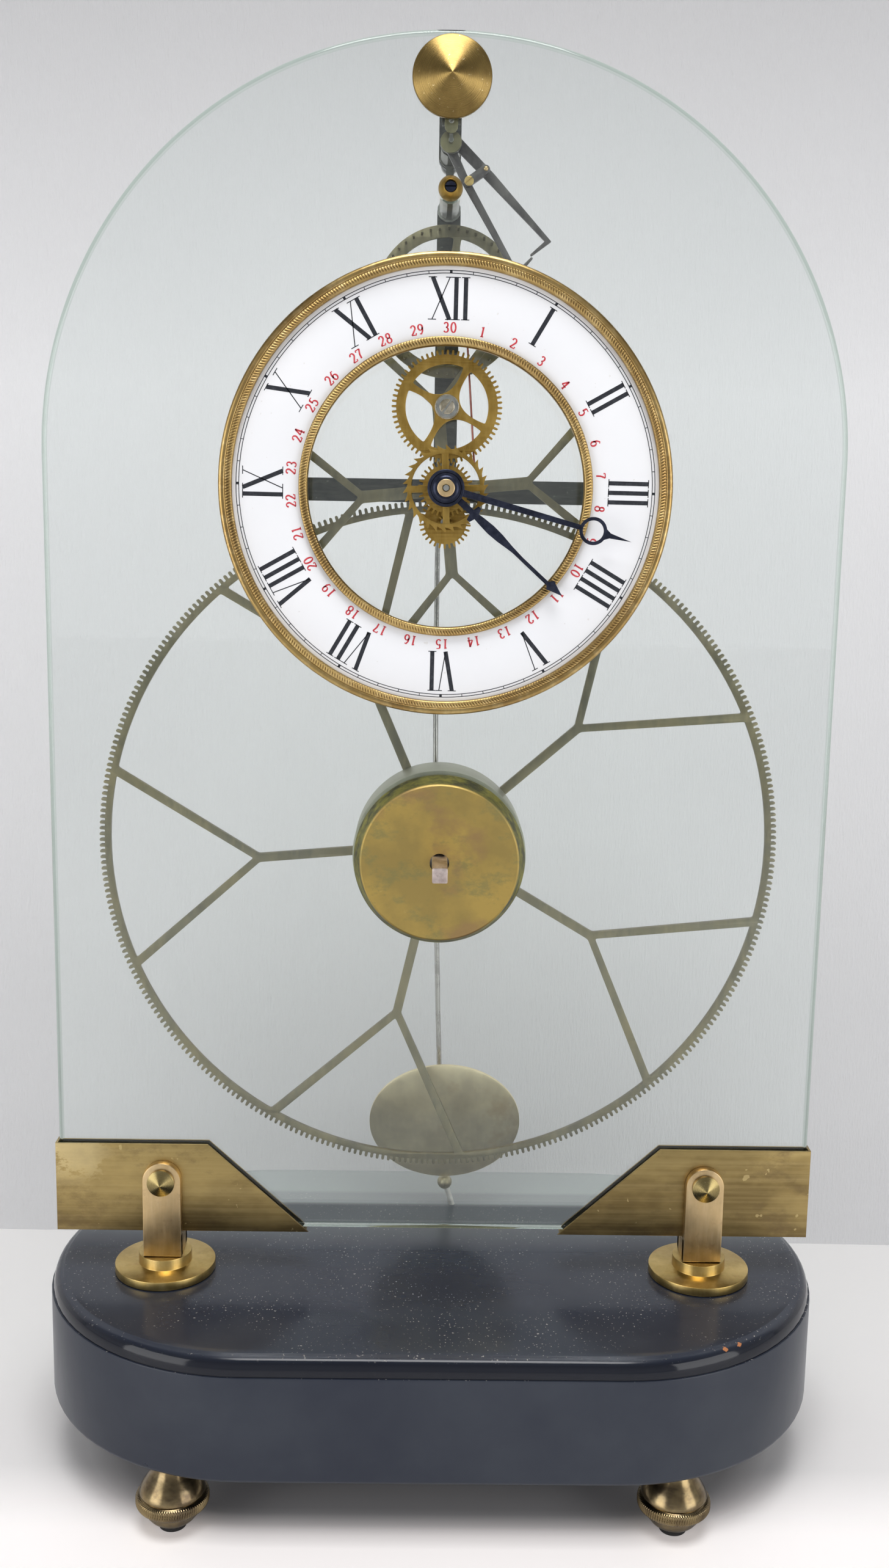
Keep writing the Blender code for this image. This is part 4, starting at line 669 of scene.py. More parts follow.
# Feet: a domed top, a roped ring, a coned underside and a small black pad; under and dome are radius and height
# in millimetres
foot = {"ring": 12.6 * mm, "ringFrom": 8.9 * mm, "ringTo": 12.3 * mm, "ringDrop": 0.5 * mm, "ropes": 88,
        "ropeDepth": 0.35 * mm, "twist": 3.2, "samples": 6, "pad": 4.8 * mm, "padHeight": 2.0 * mm,
        "neck": 5.6 * mm,
        "under": ((0, 2.0), (5.2, 2.0), (6.4, 2.5), (8.0, 3.9), (9.2, 5.5), (9.8, 7.0), (10.2, 7.6), (11.3, 8.4)),
        "dome": ((11.4, 12.6), (11.0, 12.9), (11.3, 13.4), (11.2, 14.1), (10.7, 15.3), (9.9, 16.8), (8.8, 18.4),
                 (7.7, 19.9), (6.7, 21.3), (6.0, 22.8))}


def makeFeet(s):
    under, dome = np.array(s["under"]) * mm, np.array(s["dome"]) * mm
    bulge = np.minimum(1, 1.5 * np.sin(np.linspace(0.15, pi - 0.15, 9)))
    ring = np.stack([s["ring"] - s["ringDrop"] + s["ringDrop"] * bulge,
                     np.linspace(s["ringFrom"], s["ringTo"], 9)], -1)
    sides = s["ropes"] * s["samples"]
    turn = fullTurn(sides)
    twist = np.linspace(0, s["twist"], len(ring))[:, None]
    roped = -s["ropeDepth"] * (0.5 + 0.5 * np.cos(turn * s["ropes"] + twist)) * bulge[:, None]
    swell = np.vstack([np.zeros((len(under), sides)), roped, np.zeros((len(dome) + 2, sides))])
    pad = softened(rod(s["pad"], 0, s["padHeight"]), 0.3 * mm, 3, True)
    for side in ("front_left", "front_right", "rear_left", "rear_right"):
        low, high = boxOf("foot_" + side)
        middle = (*(low + high)[:2] / 2, low[2])
        top = high[2] - low[2]
        profile = np.vstack([under, ring, dome, [(s["neck"], top), (0, top)]])
        name = "foot" + side.title().replace("_", "")
        mesh = turnedMesh(profile, middle, sides, "z", swell)
        finished(name, mesh, metals["foot"], "stand", ["foot_" + side], 50)
        finished(name + "Pad", turnedMesh(pad, middle, 40, "z"), blackPad, "stand")


makeFeet(foot)


# Posts, flanges and bolts
holder = {"chamfer": 0.45 * mm, "sheet": 0.8 * mm, "slack": 0.6 * mm, "block": 8.0 * mm, "flange": 18.2 * mm,
          "flangeThick": 3.2 * mm, "collar": 9.6 * mm, "head": 4.9 * mm, "shank": 2.1 * mm,
          "light": (0.36, 0.285, 0.125), "dark": (0.22, 0.17, 0.07), "spacing": 0.35 * mm}


def makeHolders(s):
    for side in ("left", "right"):
        low, high = boxOf("flange_" + side)
        step = low[2] + s["flangeThick"]
        flange = [(0, low[2]), (s["flange"], low[2]), (s["flange"], step), (s["collar"], step),
                  (s["collar"], high[2]), (0, high[2])]
        mesh = turnedMesh(softened(flange, 0.3 * mm, 3, True), (*(low + high)[:2] / 2, 0), 128, "z")
        finished("flange" + side.title(), mesh, metals["polished"], "stand", ["flange_" + side])
        low, high = boxOf("post_" + side)
        x, y = (low + high)[:2] / 2
        half, tall = (high[0] - low[0]) / 2, high[2] - low[2]
        arch = np.vstack([[(-half, 0)], arc(half, -pi / 2, pi / 2, 33, (0, tall - half)), [(half, 0)]])
        slot = (glassBack - glassFront) / 2 + s["sheet"] + s["slack"]
        block = [(-half, 0), (-half, s["block"]), (half, s["block"]), (half, 0)]
        cheeks = [flatMesh([outline], front, back, (x, y, low[2]), s["chamfer"]) for outline, front, back in (
            (arch, -half, -slot), (arch, slot, half), (block, -half + 0.03 * mm, half - 0.03 * mm))]
        finished("post" + side.title(), joined(cheeks), metals["bronze"], "stand", ["post_" + side], 30)
        low, high = boxOf("post_bolt_" + side)
        middle = (x, y, (low[2] + high[2]) / 2)
        front, back = low[1] - y, high[1] - y
        bolt = grooves((0, front), (s["head"] - 0.35 * mm, front + 2.4 * mm), 16, -0.025 * mm)
        bolt += [(s["head"], front + 2.6 * mm), (s["head"], front + 4.0 * mm), (s["shank"], front + 4.0 * mm),
                 (s["shank"], back - 5.2 * mm), (s["head"], back - 5.2 * mm), (s["head"], back - 2.8 * mm),
                 (0, back)]
        name = "postBolt" + side.title()
        finish = makeSpun(name + "Brass", middle, s["light"], s["dark"], s["spacing"])
        finished(name, turnedMesh(bolt, middle, 96), finish, "stand", ["post_bolt_" + side], 20)


makeHolders(holder)


shoe = {"sheet": 0.8 * mm, "top": 54.9 * mm, "bottom": 91.4 * mm, "rounding": 0.22 * mm, "inset": 0.3 * mm,
        "main": (0.42, 0.31, 0.125), "dark": (0.19, 0.135, 0.055), "light": (0.66, 0.52, 0.25),
        "stain": (0.13, 0.09, 0.05), "patch": (0.62, 0.50, 0.26), "inside": (0.045, 0.046, 0.042)}


def makeShoeFinish(s):  # brushed brass, dark on the inner face of the rear sheet
    made = Finish("shoeBrass", metallic=1.0)
    cloud = made.noise((16, 16, 30), 5.0, 0.6)
    streak = made.noise((8, 60, 520), 6.0, 0.72)
    blot = made.noise((44, 44, 80), 8.0, 0.72)
    speck = made.noise(260, 2.0, 0.5)
    low = made.window(made.part(made.spot, 2), 0.112, 0.088)
    side = made.window(made.part(made.spot, 0), -0.130, -0.070)
    colour = made.mix(made.window(cloud - low * 0.14, 0.38, 0.60), s["dark"], s["main"])
    colour = made.mix(made.window(streak, 0.42, 0.75) * 0.28, colour, s["light"])
    colour = made.mix(made.window(blot + low * 0.05, 0.55, 0.72) * 0.6, colour, s["stain"])
    patch = made.window(blot, 0.50, 0.54) * (1 - made.window(low, 0.05, 0.40))
    patch = patch * (1 - made.window(side, 0.10, 0.25))
    colour = made.mix(patch * 0.6, colour, s["patch"])
    colour = made.mix((speck > 0.71) * 0.5, colour, s["light"])
    # painted shade: the inner face of the rear sheet, which lies in shade inside the shoe, is coloured near black
    behind = (made.part(made.spot, 1) > glassFront + 1 * mm) * (made.part(made.facing, 1) < -0.5)
    made.feed("Base Color", made.mix(behind, colour, s["inside"]))
    made.feed("Roughness", 0.36 + (cloud - 0.5) * 0.3 + (streak - 0.5) * 0.2)
    made.bump(streak, 0.00004, 0.5)
    return made.material


def makeShoes(s):
    finish = makeShoeFinish(s)
    sheet = s["sheet"]
    for side, sign in (("left", -1), ("right", 1)):
        low, high = boxOf("shoe_" + side)
        tall = high[2] - low[2]
        panel = [(0, 0), (s["bottom"], 0), (s["top"], tall), (0, tall)]
        wall = [(0, 0), (sheet, 0), (sheet, tall), (0, tall)]
        floor = [(0, 0), (s["bottom"] - sheet, 0), (s["bottom"] - 1.6 * sheet, sheet), (0, sheet)]
        at = (low[0] if sign < 0 else high[0], 0, low[2])
        front, back = low[1] + s["inset"], high[1] - s["inset"]
        sheets = [flatMesh([np.array(outline) * (-sign, 1)], *depth, at, s["rounding"]) for outline, depth in (
            (panel, (low[1], low[1] + sheet)), (panel, (high[1] - sheet, high[1])), (wall, (front, back)),
            (floor, (front, back)))]
        finished("shoe" + side.title(), joined(sheets), finish, "stand", ["shoe_" + side], 30)


makeShoes(shoe)


# Glass plate: clear faces, edges of the same glass seen endways; the holes' radii are in millimetres
glass = {"rounding": 1.5 * mm,
         "holes": {"centre_arbor": 1.5, "minute_stud": 1.4, "day_stud": 1.4, "top_pillar": 2.1,
                   "side_pillar_left": 2.1, "side_pillar_right": 2.1, "barrel_bush": 4.9, "cone_nut": 2.7}}


def makePlate(s):
    low, high = boxOf("glass_plate")
    half = (high[0] - low[0]) / 2
    spring = high[2] - low[2] - half
    loops = [np.vstack([[(-half, 0)], arc(half, -pi / 2, pi / 2, 161, (0, spring)), [(half, 0)]])]
    for node, radius in s["holes"].items():
        nodeLow, nodeHigh = boxOf(node)
        spot = (nodeLow + nodeHigh) / 2
        loops.append(circle(radius * mm, 32, (spot[0], spot[2] - low[2])))
    mesh = flatMesh(loops, low[1], high[1], (0, 0, low[2]), s["rounding"], 5)
    finished("glassPlate", mesh, clearGlass, "stand", ["glass_plate"], 20)
    mesh.materials.append(edgeGlass)
    normals = np.empty(len(mesh.polygons) * 3)
    mesh.polygons.foreach_get("normal", normals)
    flat = np.abs(normals.reshape(-1, 3)[:, 1]) > 0.9999
    mesh.polygons.foreach_set("material_index", (~flat).astype(np.int32))
    mesh.polygons.foreach_set("use_smooth", ~flat)


makePlate(glass)
print("stand made")


# Dial: roped gilt rings round a white ring with black hours, a minute track and red dates
dial = {"outerRopes": 476, "innerRopes": 314, "ropeDepth": 0.36 * mm, "samples": 6, "rows": 11, "twist": -6.0,
        "outerInside": 70.6 * mm, "innerOutside": 48.6 * mm, "innerInside": 45.7 * mm, "innerWall": 46.85 * mm,
        "whiteInside": 47.15 * mm, "whiteOutside": 73.0 * mm}


# The arched band that carries the ropes, from one radius to another and from one angle of the arch to another
def ropeArch(start, end, front, rise, first, last, rows):
    turn = np.linspace(first, last, rows)
    return np.stack([np.linspace(start, end, rows), front + rise - rise * np.sin(turn)], -1)


def ropeRing(name, before, band, after, ropes, replaced, middle, s):
    profile = np.vstack([before, band, after])
    turn = fullTurn(ropes * s["samples"])
    drop = np.zeros((len(profile), len(turn)))
    along = np.linspace(0, s["twist"], len(band))[:, None]
    arch = np.sin(np.linspace(0.1, pi - 0.1, len(band)))[:, None]
    rope = s["ropeDepth"] * (0.5 - 0.5 * np.cos(turn * ropes + along)) ** 2 * arch
    drop[len(before):len(before) + len(band)] = rope
    radius = profile[:, :1]
    points = np.stack([radius * np.sin(turn), profile[:, 1:] + drop, radius * np.cos(turn)], -1)
    mesh = gridMesh(points + np.array(middle), aroundRows=True)
    hollow = mesh.attributes.new("hollow", "FLOAT", "POINT")
    hollow.data.foreach_set("value", (drop / s["ropeDepth"]).ravel())
    finished(name, mesh, ropedGilt, "stand", [replaced], 60)


def makeDial(s):
    middle = axle["centre_turn"]
    whiteLow, whiteHigh = boxOf("chapter_ring")
    face = whiteLow[1]
    seat = face - 0.1 * mm
    low, high = boxOf("outer_bezel")
    front, back = low[1], high[1]
    outer, inner = (high[0] - low[0]) / 2 + 0.1 * mm, s["outerInside"]
    before = [(outer - 2.2 * mm, back), (outer, back), (outer, front + 0.9 * mm),
              (outer - 0.35 * mm, front + 0.45 * mm), (outer - 1.1 * mm, front + 0.22 * mm),
              (outer - 1.95 * mm, front + 0.30 * mm), (outer - 2.15 * mm, front + 0.50 * mm)]
    band = ropeArch(outer - 2.25 * mm, inner + 0.35 * mm, front, 0.30 * mm, 0.2, pi - 0.5, s["rows"])
    after = [(inner, front + 0.6 * mm), (inner, seat), (outer - 2.2 * mm, seat)]
    ropeRing("outerBezel", before, band, after, s["outerRopes"], "outer_bezel", middle, s)
    low, high = boxOf("inner_bezel")
    front, back = low[1], high[1]
    outer, inner, wall = s["innerOutside"], s["innerInside"], s["innerWall"]
    before = [(wall, back), (wall, seat), (outer, seat), (outer, front + 0.5 * mm)]
    band = ropeArch(outer - 0.30 * mm, inner + 0.45 * mm, front, 0.40 * mm, 0.35, pi - 0.6, s["rows"])
    after = [(inner, front + 0.6 * mm), (inner, back)]
    ropeRing("innerBezel", before, band, after, s["innerRopes"], "inner_bezel", middle, s)
    ring = softened(ringProfile(s["whiteInside"], s["whiteOutside"], face, whiteHigh[1]), 0.3 * mm, 3)
    finished("chapterRing", turnedMesh(ring, middle, 256), enamel, "stand", ["chapter_ring"])
    return middle, face


dialMiddle, dialFace = makeDial(dial)


# Hour marks: thick and thin strokes with hairline feet, all in millimetres from the dial's middle line
hours = {"inside": 53.9, "outside": 67.1, "thick": 0.70, "thin": 0.16, "foot": 0.14, "footReach": 1.35,
         "stemGap": 3.1, "wedge": 4.4, "lean": 0.25, "cross": 5.6}


def numeral(text, s):
    widths = {"I": s["stemGap"], "V": s["wedge"] + s["stemGap"] * 0.6, "X": s["cross"] + s["stemGap"] * 0.35}
    edge = -sum(widths[letter] for letter in text) / 2
    strokes, low, high = [], s["inside"], s["outside"]

    def hairline(x, z, reach=s["footReach"]):
        strokes.append(([(x - reach, z), (x + reach, z)], s["foot"]))
    for letter in text:
        middle = edge + widths[letter] / 2
        if letter == "I":
            strokes.append(([(middle, low), (middle, high)], s["thick"]))
            hairline(middle, low)
            hairline(middle, high)
        if letter == "V":
            strokes.append(([(middle - s["wedge"] / 2, high), (middle + s["lean"], low)], s["thick"]))
            strokes.append(([(middle + s["wedge"] / 2, high), (middle + s["lean"], low)], s["thin"]))
            hairline(middle - s["wedge"] / 2, high)
            hairline(middle + s["wedge"] / 2, high, s["footReach"] * 0.8)
        if letter == "X":
            strokes.append(([(middle - s["cross"] / 2, high), (middle + s["cross"] / 2, low)], s["thick"]))
            strokes.append(([(middle + s["cross"] / 2, high), (middle - s["cross"] / 2, low)], s["thin"]))
            for x, z in ((-1, high), (1, low), (1, high), (-1, low)):
                hairline(middle + x * s["cross"] / 2, z)
        edge += widths[letter]
    return strokes


# Figures: each is drawn as a pen path in a box 1 wide and 1 tall, thick where the pen moves up or down
def bend(middleX, middleZ, radiusX, radiusZ, start, end, count=9):
    turn = np.radians(np.linspace(start, end, count))
    return list(zip(middleX + radiusX * np.sin(turn), middleZ + radiusZ * np.cos(turn)))


figures = {
    "0": [bend(0.5, 0.5, 0.36, 0.5, 0, 360, 25)],
    "1": [[(0.30, 0.86), (0.52, 1.0), (0.52, 0.0)], [(0.28, 0.0), (0.78, 0.0)]],
    "2": [bend(0.48, 0.72, 0.33, 0.28, -80, 110) + [(0.42, 0.25), (0.16, 0.02)],
          [(0.16, 0.02), (0.86, 0.02), (0.88, 0.2)]],
    "3": [bend(0.46, 0.75, 0.30, 0.25, -70, 180), bend(0.46, 0.25, 0.35, 0.25, 0, 245)],
    "4": [[(0.66, 1.0), (0.10, 0.30)], [(0.10, 0.30), (0.92, 0.30)], [(0.66, 1.0), (0.66, 0.0)],
          [(0.48, 0.0), (0.84, 0.0)]],
    "5": [[(0.80, 0.97), (0.28, 0.97)], [(0.28, 0.97), (0.24, 0.55)] + bend(0.46, 0.30, 0.36, 0.30, -40, 240)],
    "6": [bend(0.50, 0.29, 0.34, 0.29, 0, 360, 21), [(0.17, 0.32), (0.22, 0.70), (0.46, 0.98), (0.72, 0.93)]],
    "7": [[(0.16, 0.80), (0.18, 0.97), (0.86, 0.97)], [(0.86, 0.97), (0.52, 0.45), (0.44, 0.0)]],
    "8": [bend(0.5, 0.76, 0.28, 0.24, 0, 360, 19), bend(0.5, 0.26, 0.35, 0.26, 0, 360, 19)],
    "9": [bend(0.50, 0.71, 0.34, 0.29, 0, 360, 21), [(0.83, 0.68), (0.78, 0.30), (0.54, 0.02), (0.28, 0.07)]],
}
dates = {"inside": 49.9, "tall": 3.1, "wide": 2.05, "gap": 0.30, "thin": 0.16, "thick": 0.28, "count": 30}


def dateFigures(text, s):
    strokes, edge = [], -(len(text) * s["wide"] + (len(text) - 1) * s["gap"]) / 2
    for digit in text:
        for path in figures[digit]:
            path = np.array(path) * (s["wide"], s["tall"]) + (edge, s["inside"])
            ahead = np.gradient(path, axis=0)
            upright = np.abs(ahead[:, 1]) / (np.linalg.norm(ahead, axis=1) + 1e-9)
            strokes.append((path, s["thin"] + (s["thick"] - s["thin"]) * upright))
        edge += s["wide"] + s["gap"]
    return strokes


def onDial(strokes, angle):
    return [(swung(np.array(path) * mm, angle), np.array(half) * mm) for path, half in strokes]


track = {"inner": 68.40, "outer": 69.30, "line": 0.125, "tick": 0.115, "block": 0.42, "turn": radians(0.5)}


def makePrint():
    height = (dialFace - 0.03 * mm, dialFace + 0.01 * mm)
    black = []
    for k, text in enumerate(("XII", "I", "II", "III", "IIII", "V", "VI", "VII", "VIII", "IX", "X", "XI")):
        black += onDial(numeral(text, hours), radians(30 * k) + track["turn"])
    for radius in (track["inner"], track["outer"]):
        black.append((arc(radius * mm, 0, 2 * pi, 361), track["line"] * mm))
    for minute in range(60):
        half = track["block"] if minute % 5 == 0 else track["tick"]
        black += onDial([([(0, track["inner"]), (0, track["outer"])], half)], radians(6 * minute) + track["turn"])
    mesh = strokeMesh(black, *height, dialMiddle)
    finished("hourMarks", mesh, blackInk, "stand")
    red = []
    for day in range(1, dates["count"] + 1):
        red += onDial(dateFigures(str(day), dates), 2 * pi * day / dates["count"] + track["turn"])
    mesh = strokeMesh(red, *height, dialMiddle)
    finished("dateFigures", mesh, redInk, "stand")


makePrint()
print("dial made")


# Wheels
def makeWheel(name, node, body, joint, s, windows, finish):
    low, high = boxOf(node)
    rim = gearOutline(s["teeth"], s["root"], s["tip"], s["tooth"])
    mesh = flatMesh([rim, circle(s["bore"])] + windows, low[1], high[1], axle[joint], 0.06 * mm)
    finished(name, mesh, metals[finish], body, [node])


def atDepth(front, back):  # layers are counted back from the glass's front face
    return glassFront + front, glassFront + back


great = {"teeth": 360, "root": 122.1 * mm, "tip": 124.0 * mm, "tooth": squareTooth, "bore": 2.5 * mm, "spokes": 5,
         "turn": radians(48.8), "hub": 29.0 * mm, "fork": 66.0 * mm, "rim": 119.9 * mm, "spoke": 3.2 * mm,
         "arm": 2.6 * mm, "spread": radians(17.4), "corner": 0.8 * mm}
makeWheel("greatWheel", "great_wheel", "great_group", "great_turn", great, forkedWindows(great), "wheel")

centreLow, centreHigh = boxOf("centre_wheel")
centreTip = (centreHigh[0] - centreLow[0]) / 2
centre = {"teeth": 150, "root": centreTip - 1.9 * mm, "tip": centreTip, "tooth": roundTooth, "bore": 1.6 * mm,
          "spokes": 4, "turn": radians(-5.7), "hub": 6.2 * mm, "fork": 28.3 * mm, "rim": 55.9 * mm,
          "spoke": 4.2 * mm, "arm": 2.4 * mm, "spread": radians(22.9), "corner": 0.7 * mm}
makeWheel("centreWheel", "centre_wheel", "centre_group", "centre_turn", centre, forkedWindows(centre), "wheel")

day = {"teeth": 64, "root": 16.85 * mm, "tip": 18.4 * mm, "tooth": roundTooth, "bore": 1.4 * mm, "spokes": 4,
       "turn": radians(28), "hub": 4.5 * mm, "rim": 13.75 * mm, "width": 2.7 * mm, "corner": 0.5 * mm}
makeWheel("dayWheel", "day_wheel", "day_group", "day_wheel_turn", day, crescentWindows(day), "golden")


def makeDayScrew():
    front = boxOf("day_stud")[0][1]
    place = axle["day_wheel_turn"]
    washer = softened(ringProfile(0.3 * mm, 4.05 * mm, front + 0.75 * mm, front + 1.35 * mm), 0.15 * mm, 3)
    step = softened(ringProfile(0.3 * mm, 3.3 * mm, front + 0.35 * mm, front + 0.80 * mm), 0.12 * mm, 3)
    head = slottedHead(2.5 * mm, 0.55 * mm, front - 0.35 * mm, front + 0.40 * mm, place, radians(35))
    meshes = [turnedMesh(washer, place, 64), turnedMesh(step, place, 64)] + head
    finished("dayScrew", joined(meshes), metals["screw"], "stand")


makeDayScrew()


sawTooth = ((0, 0), (-0.06, 1.0), (0.28, 0.50), (0.60, 0.14))
hourGear = {"teeth": 32, "root": 7.75 * mm, "tip": 9.33 * mm, "tooth": roundTooth, "toothTurn": pi + pi / 32,
            "depth": (-4.5 * mm, -3.4 * mm), "bore": 2.0 * mm, "pipe": 2.5 * mm, "rounding": 0.05 * mm}
dateGear = {"teeth": 30, "root": 12.75 * mm, "tip": 14.4 * mm, "tooth": sawTooth, "toothTurn": 0,
            "depth": (-7.5 * mm, -6.6 * mm), "bore": 2.7 * mm, "pipe": 3.2 * mm, "rounding": 0.06 * mm,
            "spokes": 4, "turn": radians(-2), "hub": 3.9 * mm, "rim": 11.5 * mm, "width": 2.2 * mm,
            "corner": 0.5 * mm}


def makePipedWheel(name, node, body, s, windows):
    place, low = axle["centre_turn"], boxOf(node)[0]
    front, back = atDepth(*s["depth"])
    rim = gearOutline(s["teeth"], s["root"], s["tip"], s["tooth"], s["toothTurn"])
    plate = flatMesh([rim, circle(s["bore"])] + windows, front, back, place, s["rounding"])
    pipe = turnedMesh(ringProfile(s["bore"], s["pipe"], low[1], front + 0.2 * mm), place, 48)
    finished(name, joined([plate, pipe]), metals["golden"], body, [node])


def makeMinuteWheel():
    place = axle["minute_wheel_turn"]
    rim = gearOutline(30, 7.2 * mm, 8.78 * mm, roundTooth)
    plate = flatMesh([rim, circle(1.35 * mm)], *atDepth(-2.8 * mm, -1.7 * mm), place, 0.05 * mm)
    leaves = gearOutline(8, 1.42 * mm, 2.62 * mm, roundTooth)
    pinion = flatMesh([leaves, circle(1.31 * mm, 32)], *atDepth(-4.75 * mm, -2.75 * mm), place, 0.04 * mm)
    finished("minuteWheel", joined([plate, pinion]), metals["golden"], "minute_group", ["minute_wheel"])


makePipedWheel("hourWheel", "hour_wheel", "hour_group", hourGear, [])
makeMinuteWheel()
makePipedWheel("dateWheel", "date_wheel", "date_group", dateGear, straightWindows(dateGear))


escape = {"depth": (21.6 * mm, 23.0 * mm), "radius": 25.4 * mm, "bore": 1.6 * mm, "spokes": 4, "turn": radians(8),
          "hub": 4.4 * mm, "rim": 21.2 * mm, "width": 2.6 * mm, "corner": 0.8 * mm, "pins": 48,
          "pinCircle": 24.0 * mm, "pin": 0.42 * mm, "pinReach": 5.2 * mm}


def makeEscape(s):
    place = axle["escape_turn"]
    front, back = atDepth(*s["depth"])
    meshes = [flatMesh([circle(s["radius"], 144), circle(s["bore"])] + straightWindows(s), front, back, place)]
    for k in range(s["pins"]):
        spot = polar(s["pinCircle"], 2 * pi * k / s["pins"])
        pin = rod(s["pin"], front - s["pinReach"], front + 0.3 * mm)
        meshes.append(turnedMesh(pin, place + np.array((spot[0], 0, spot[1])), 10))
    finished("escapeWheel", joined(meshes), metals["wheel"], "escape_group", ["escape_wheel"])


makeEscape(escape)


# Pallets: two tapering steel arms joined by a slotted bar, all placed in millimetres from the pallet arbor
pallets = {"long": ((0.6, 2.3), (13.5, -10.0), (33.2, -30.0), (27.5, -34.6)), "longHalf": (1.85, 1.60, 0.74, 0.36),
           "short": ((-0.7, -0.4), (4.9, -11.4), (19.2, -35.2), (22.8, -41.2), (27.9, -35.6)),
           "shortHalf": (1.55, 1.30, 0.92, 0.80, 0.36),
           "link": ((5.9, -12.4), (11.6, -8.4)), "linkHalf": 1.45, "hub": 3.5, "screw": (6.17, -12.3),
           "screwRadius": 1.55, "rivet": (11.7, -8.2), "rivetRadius": 0.85}


def makePallets(s):
    place = axle["pallet_rock"]
    for name, node in (("long", "long_pallet"), ("short", "short_pallet")):
        low, high = boxOf(node)
        outline = softened(tapered(np.array(s[name]) * mm, np.array(s[name + "Half"]) * mm), 0.25 * mm, 3)
        mesh = flatMesh([outline], low[1], high[1], place, 0.10 * mm)
        finished(name + "Pallet", mesh, metals["palletSteel"], "pallet_group", [node])
    low, high = boxOf("pallet_link")
    ends = np.array(s["link"]) * mm
    ahead = (ends[1] - ends[0]) / np.linalg.norm(ends[1] - ends[0])
    first = atan2(ahead[0], ahead[1])
    radius = s["linkHalf"] * mm
    outline = np.vstack([arc(radius, first - pi / 2, first + pi / 2, 12, ends[1]),
                         arc(radius, first + pi / 2, first + 3 * pi / 2, 12, ends[0])])
    mesh = flatMesh([outline], low[1], high[1], place, 0.10 * mm)
    finished("palletLink", mesh, metals["palletSteel"], "pallet_group", ["pallet_link"])
    front = low[1]
    spot = place + np.array((s["screw"][0], 0, s["screw"][1])) * mm
    radius = s["screwRadius"] * mm
    screw = slottedHead(radius, 0.5 * mm, front - 0.9 * mm, front + 0.1 * mm, spot, radians(50))
    finished("linkScrew", joined(screw), metals["polished"], "pallet_group")
    spot = place + np.array((s["rivet"][0], 0, s["rivet"][1])) * mm
    dome = [(0, front - 0.45 * mm), (0.45 * mm, front - 0.38 * mm), (0.75 * mm, front - 0.15 * mm),
            (s["rivetRadius"] * mm, front + 0.1 * mm), (0, front + 0.1 * mm)]
    finished("linkRivet", turnedMesh(dome, spot, 24), metals["bronze"], "pallet_group")
    low = boxOf("pallet_arbor")[0]
    hub = softened(rod(s["hub"] * mm, low[1] - 0.9 * mm, low[1] + 0.05 * mm), 0.15 * mm, 3, True)
    finished("palletHub", turnedMesh(hub, place, 64), metals["hub"], "pallet_group")
    pivot = softened(rod(0.85 * mm, low[1] - 3.6 * mm, low[1] - 0.85 * mm), 0.1 * mm, 3, True)
    finished("palletPivot", turnedMesh(pivot, place, 24), metals["greySteel"], "pallet_group")
    low, high = boxOf("front_cock")
    half, top = 2.35 * mm, high[2] - place[2]
    tab = np.vstack([[(-half, top - 3 * mm)], arc(half * 0.92, -pi / 2, -3 * pi / 2, 17, (0, 3.9 * mm)),
                     [(half, top - 3 * mm)]])
    mesh = flatMesh([tab], low[1] - 0.55 * mm, low[1] + 0.02 * mm, place, 0.15 * mm)
    finished("cockTab", mesh, metals["hub"], "stand")
    spot = place + np.array((0, 0, 5.6 * mm))
    screw = slottedHead(0.85 * mm, 0.25 * mm, low[1] - 0.85 * mm, low[1] - 0.5 * mm, spot, radians(40))
    finished("tabScrew", joined(screw), metals["greySteel"], "stand")


makePallets(pallets)


# Barrel and its front cover, with the winding square through it
barrel = {"bore": 4.9 * mm, "wall": 1.2 * mm, "cover": 30.0 * mm, "coverFace": 27.6 * mm, "coverBore": 3.4 * mm,
          "square": 2.6 * mm, "squareReach": 19.5 * mm, "neck": 2.3 * mm}


def makeBarrel(s):
    place, wall = axle["great_turn"], s["wall"]
    low, high = boxOf("barrel")
    radius = (high[0] - low[0]) / 2 + wall
    drum = [(s["bore"], low[1]), (radius, low[1]), (radius, high[1]), (radius - wall, high[1]),
            (radius - wall, low[1] + wall), (s["bore"], low[1] + wall)]
    finished("barrelDrum", turnedMesh(softened(drum, 0.3 * mm, 3), place, 160), metals["drumWall"], "great_group",
             ["barrel"])
    low, high = boxOf("drum_cover")
    front, back, radius, face = low[1], high[1], s["cover"], s["coverFace"]
    cover = [(s["coverBore"], front), (face - 0.5 * mm, front), (face, front + 0.35 * mm), (radius, back - wall),
             (radius, back), (radius - wall, back), (radius - wall, back - wall), (face - wall, front + wall),
             (s["coverBore"], front + wall)]
    finished("drumCover", turnedMesh(cover, place, 192), patina, "stand", ["drum_cover"], 20)
    half, back = s["square"], boxOf("winding_arbor")[1][1]
    square = softened([(-half, -half), (half, -half), (half, half), (-half, half)], 0.5 * mm, 3)
    key = [flatMesh([square], front - s["squareReach"], front - 0.3 * mm, place, 0.25 * mm),
           turnedMesh(rod(s["neck"], front - 0.35 * mm, back), place, 32)]
    finished("windingSquare", joined(key), metals["key"], "winding_group", ["winding_arbor"])


makeBarrel(barrel)


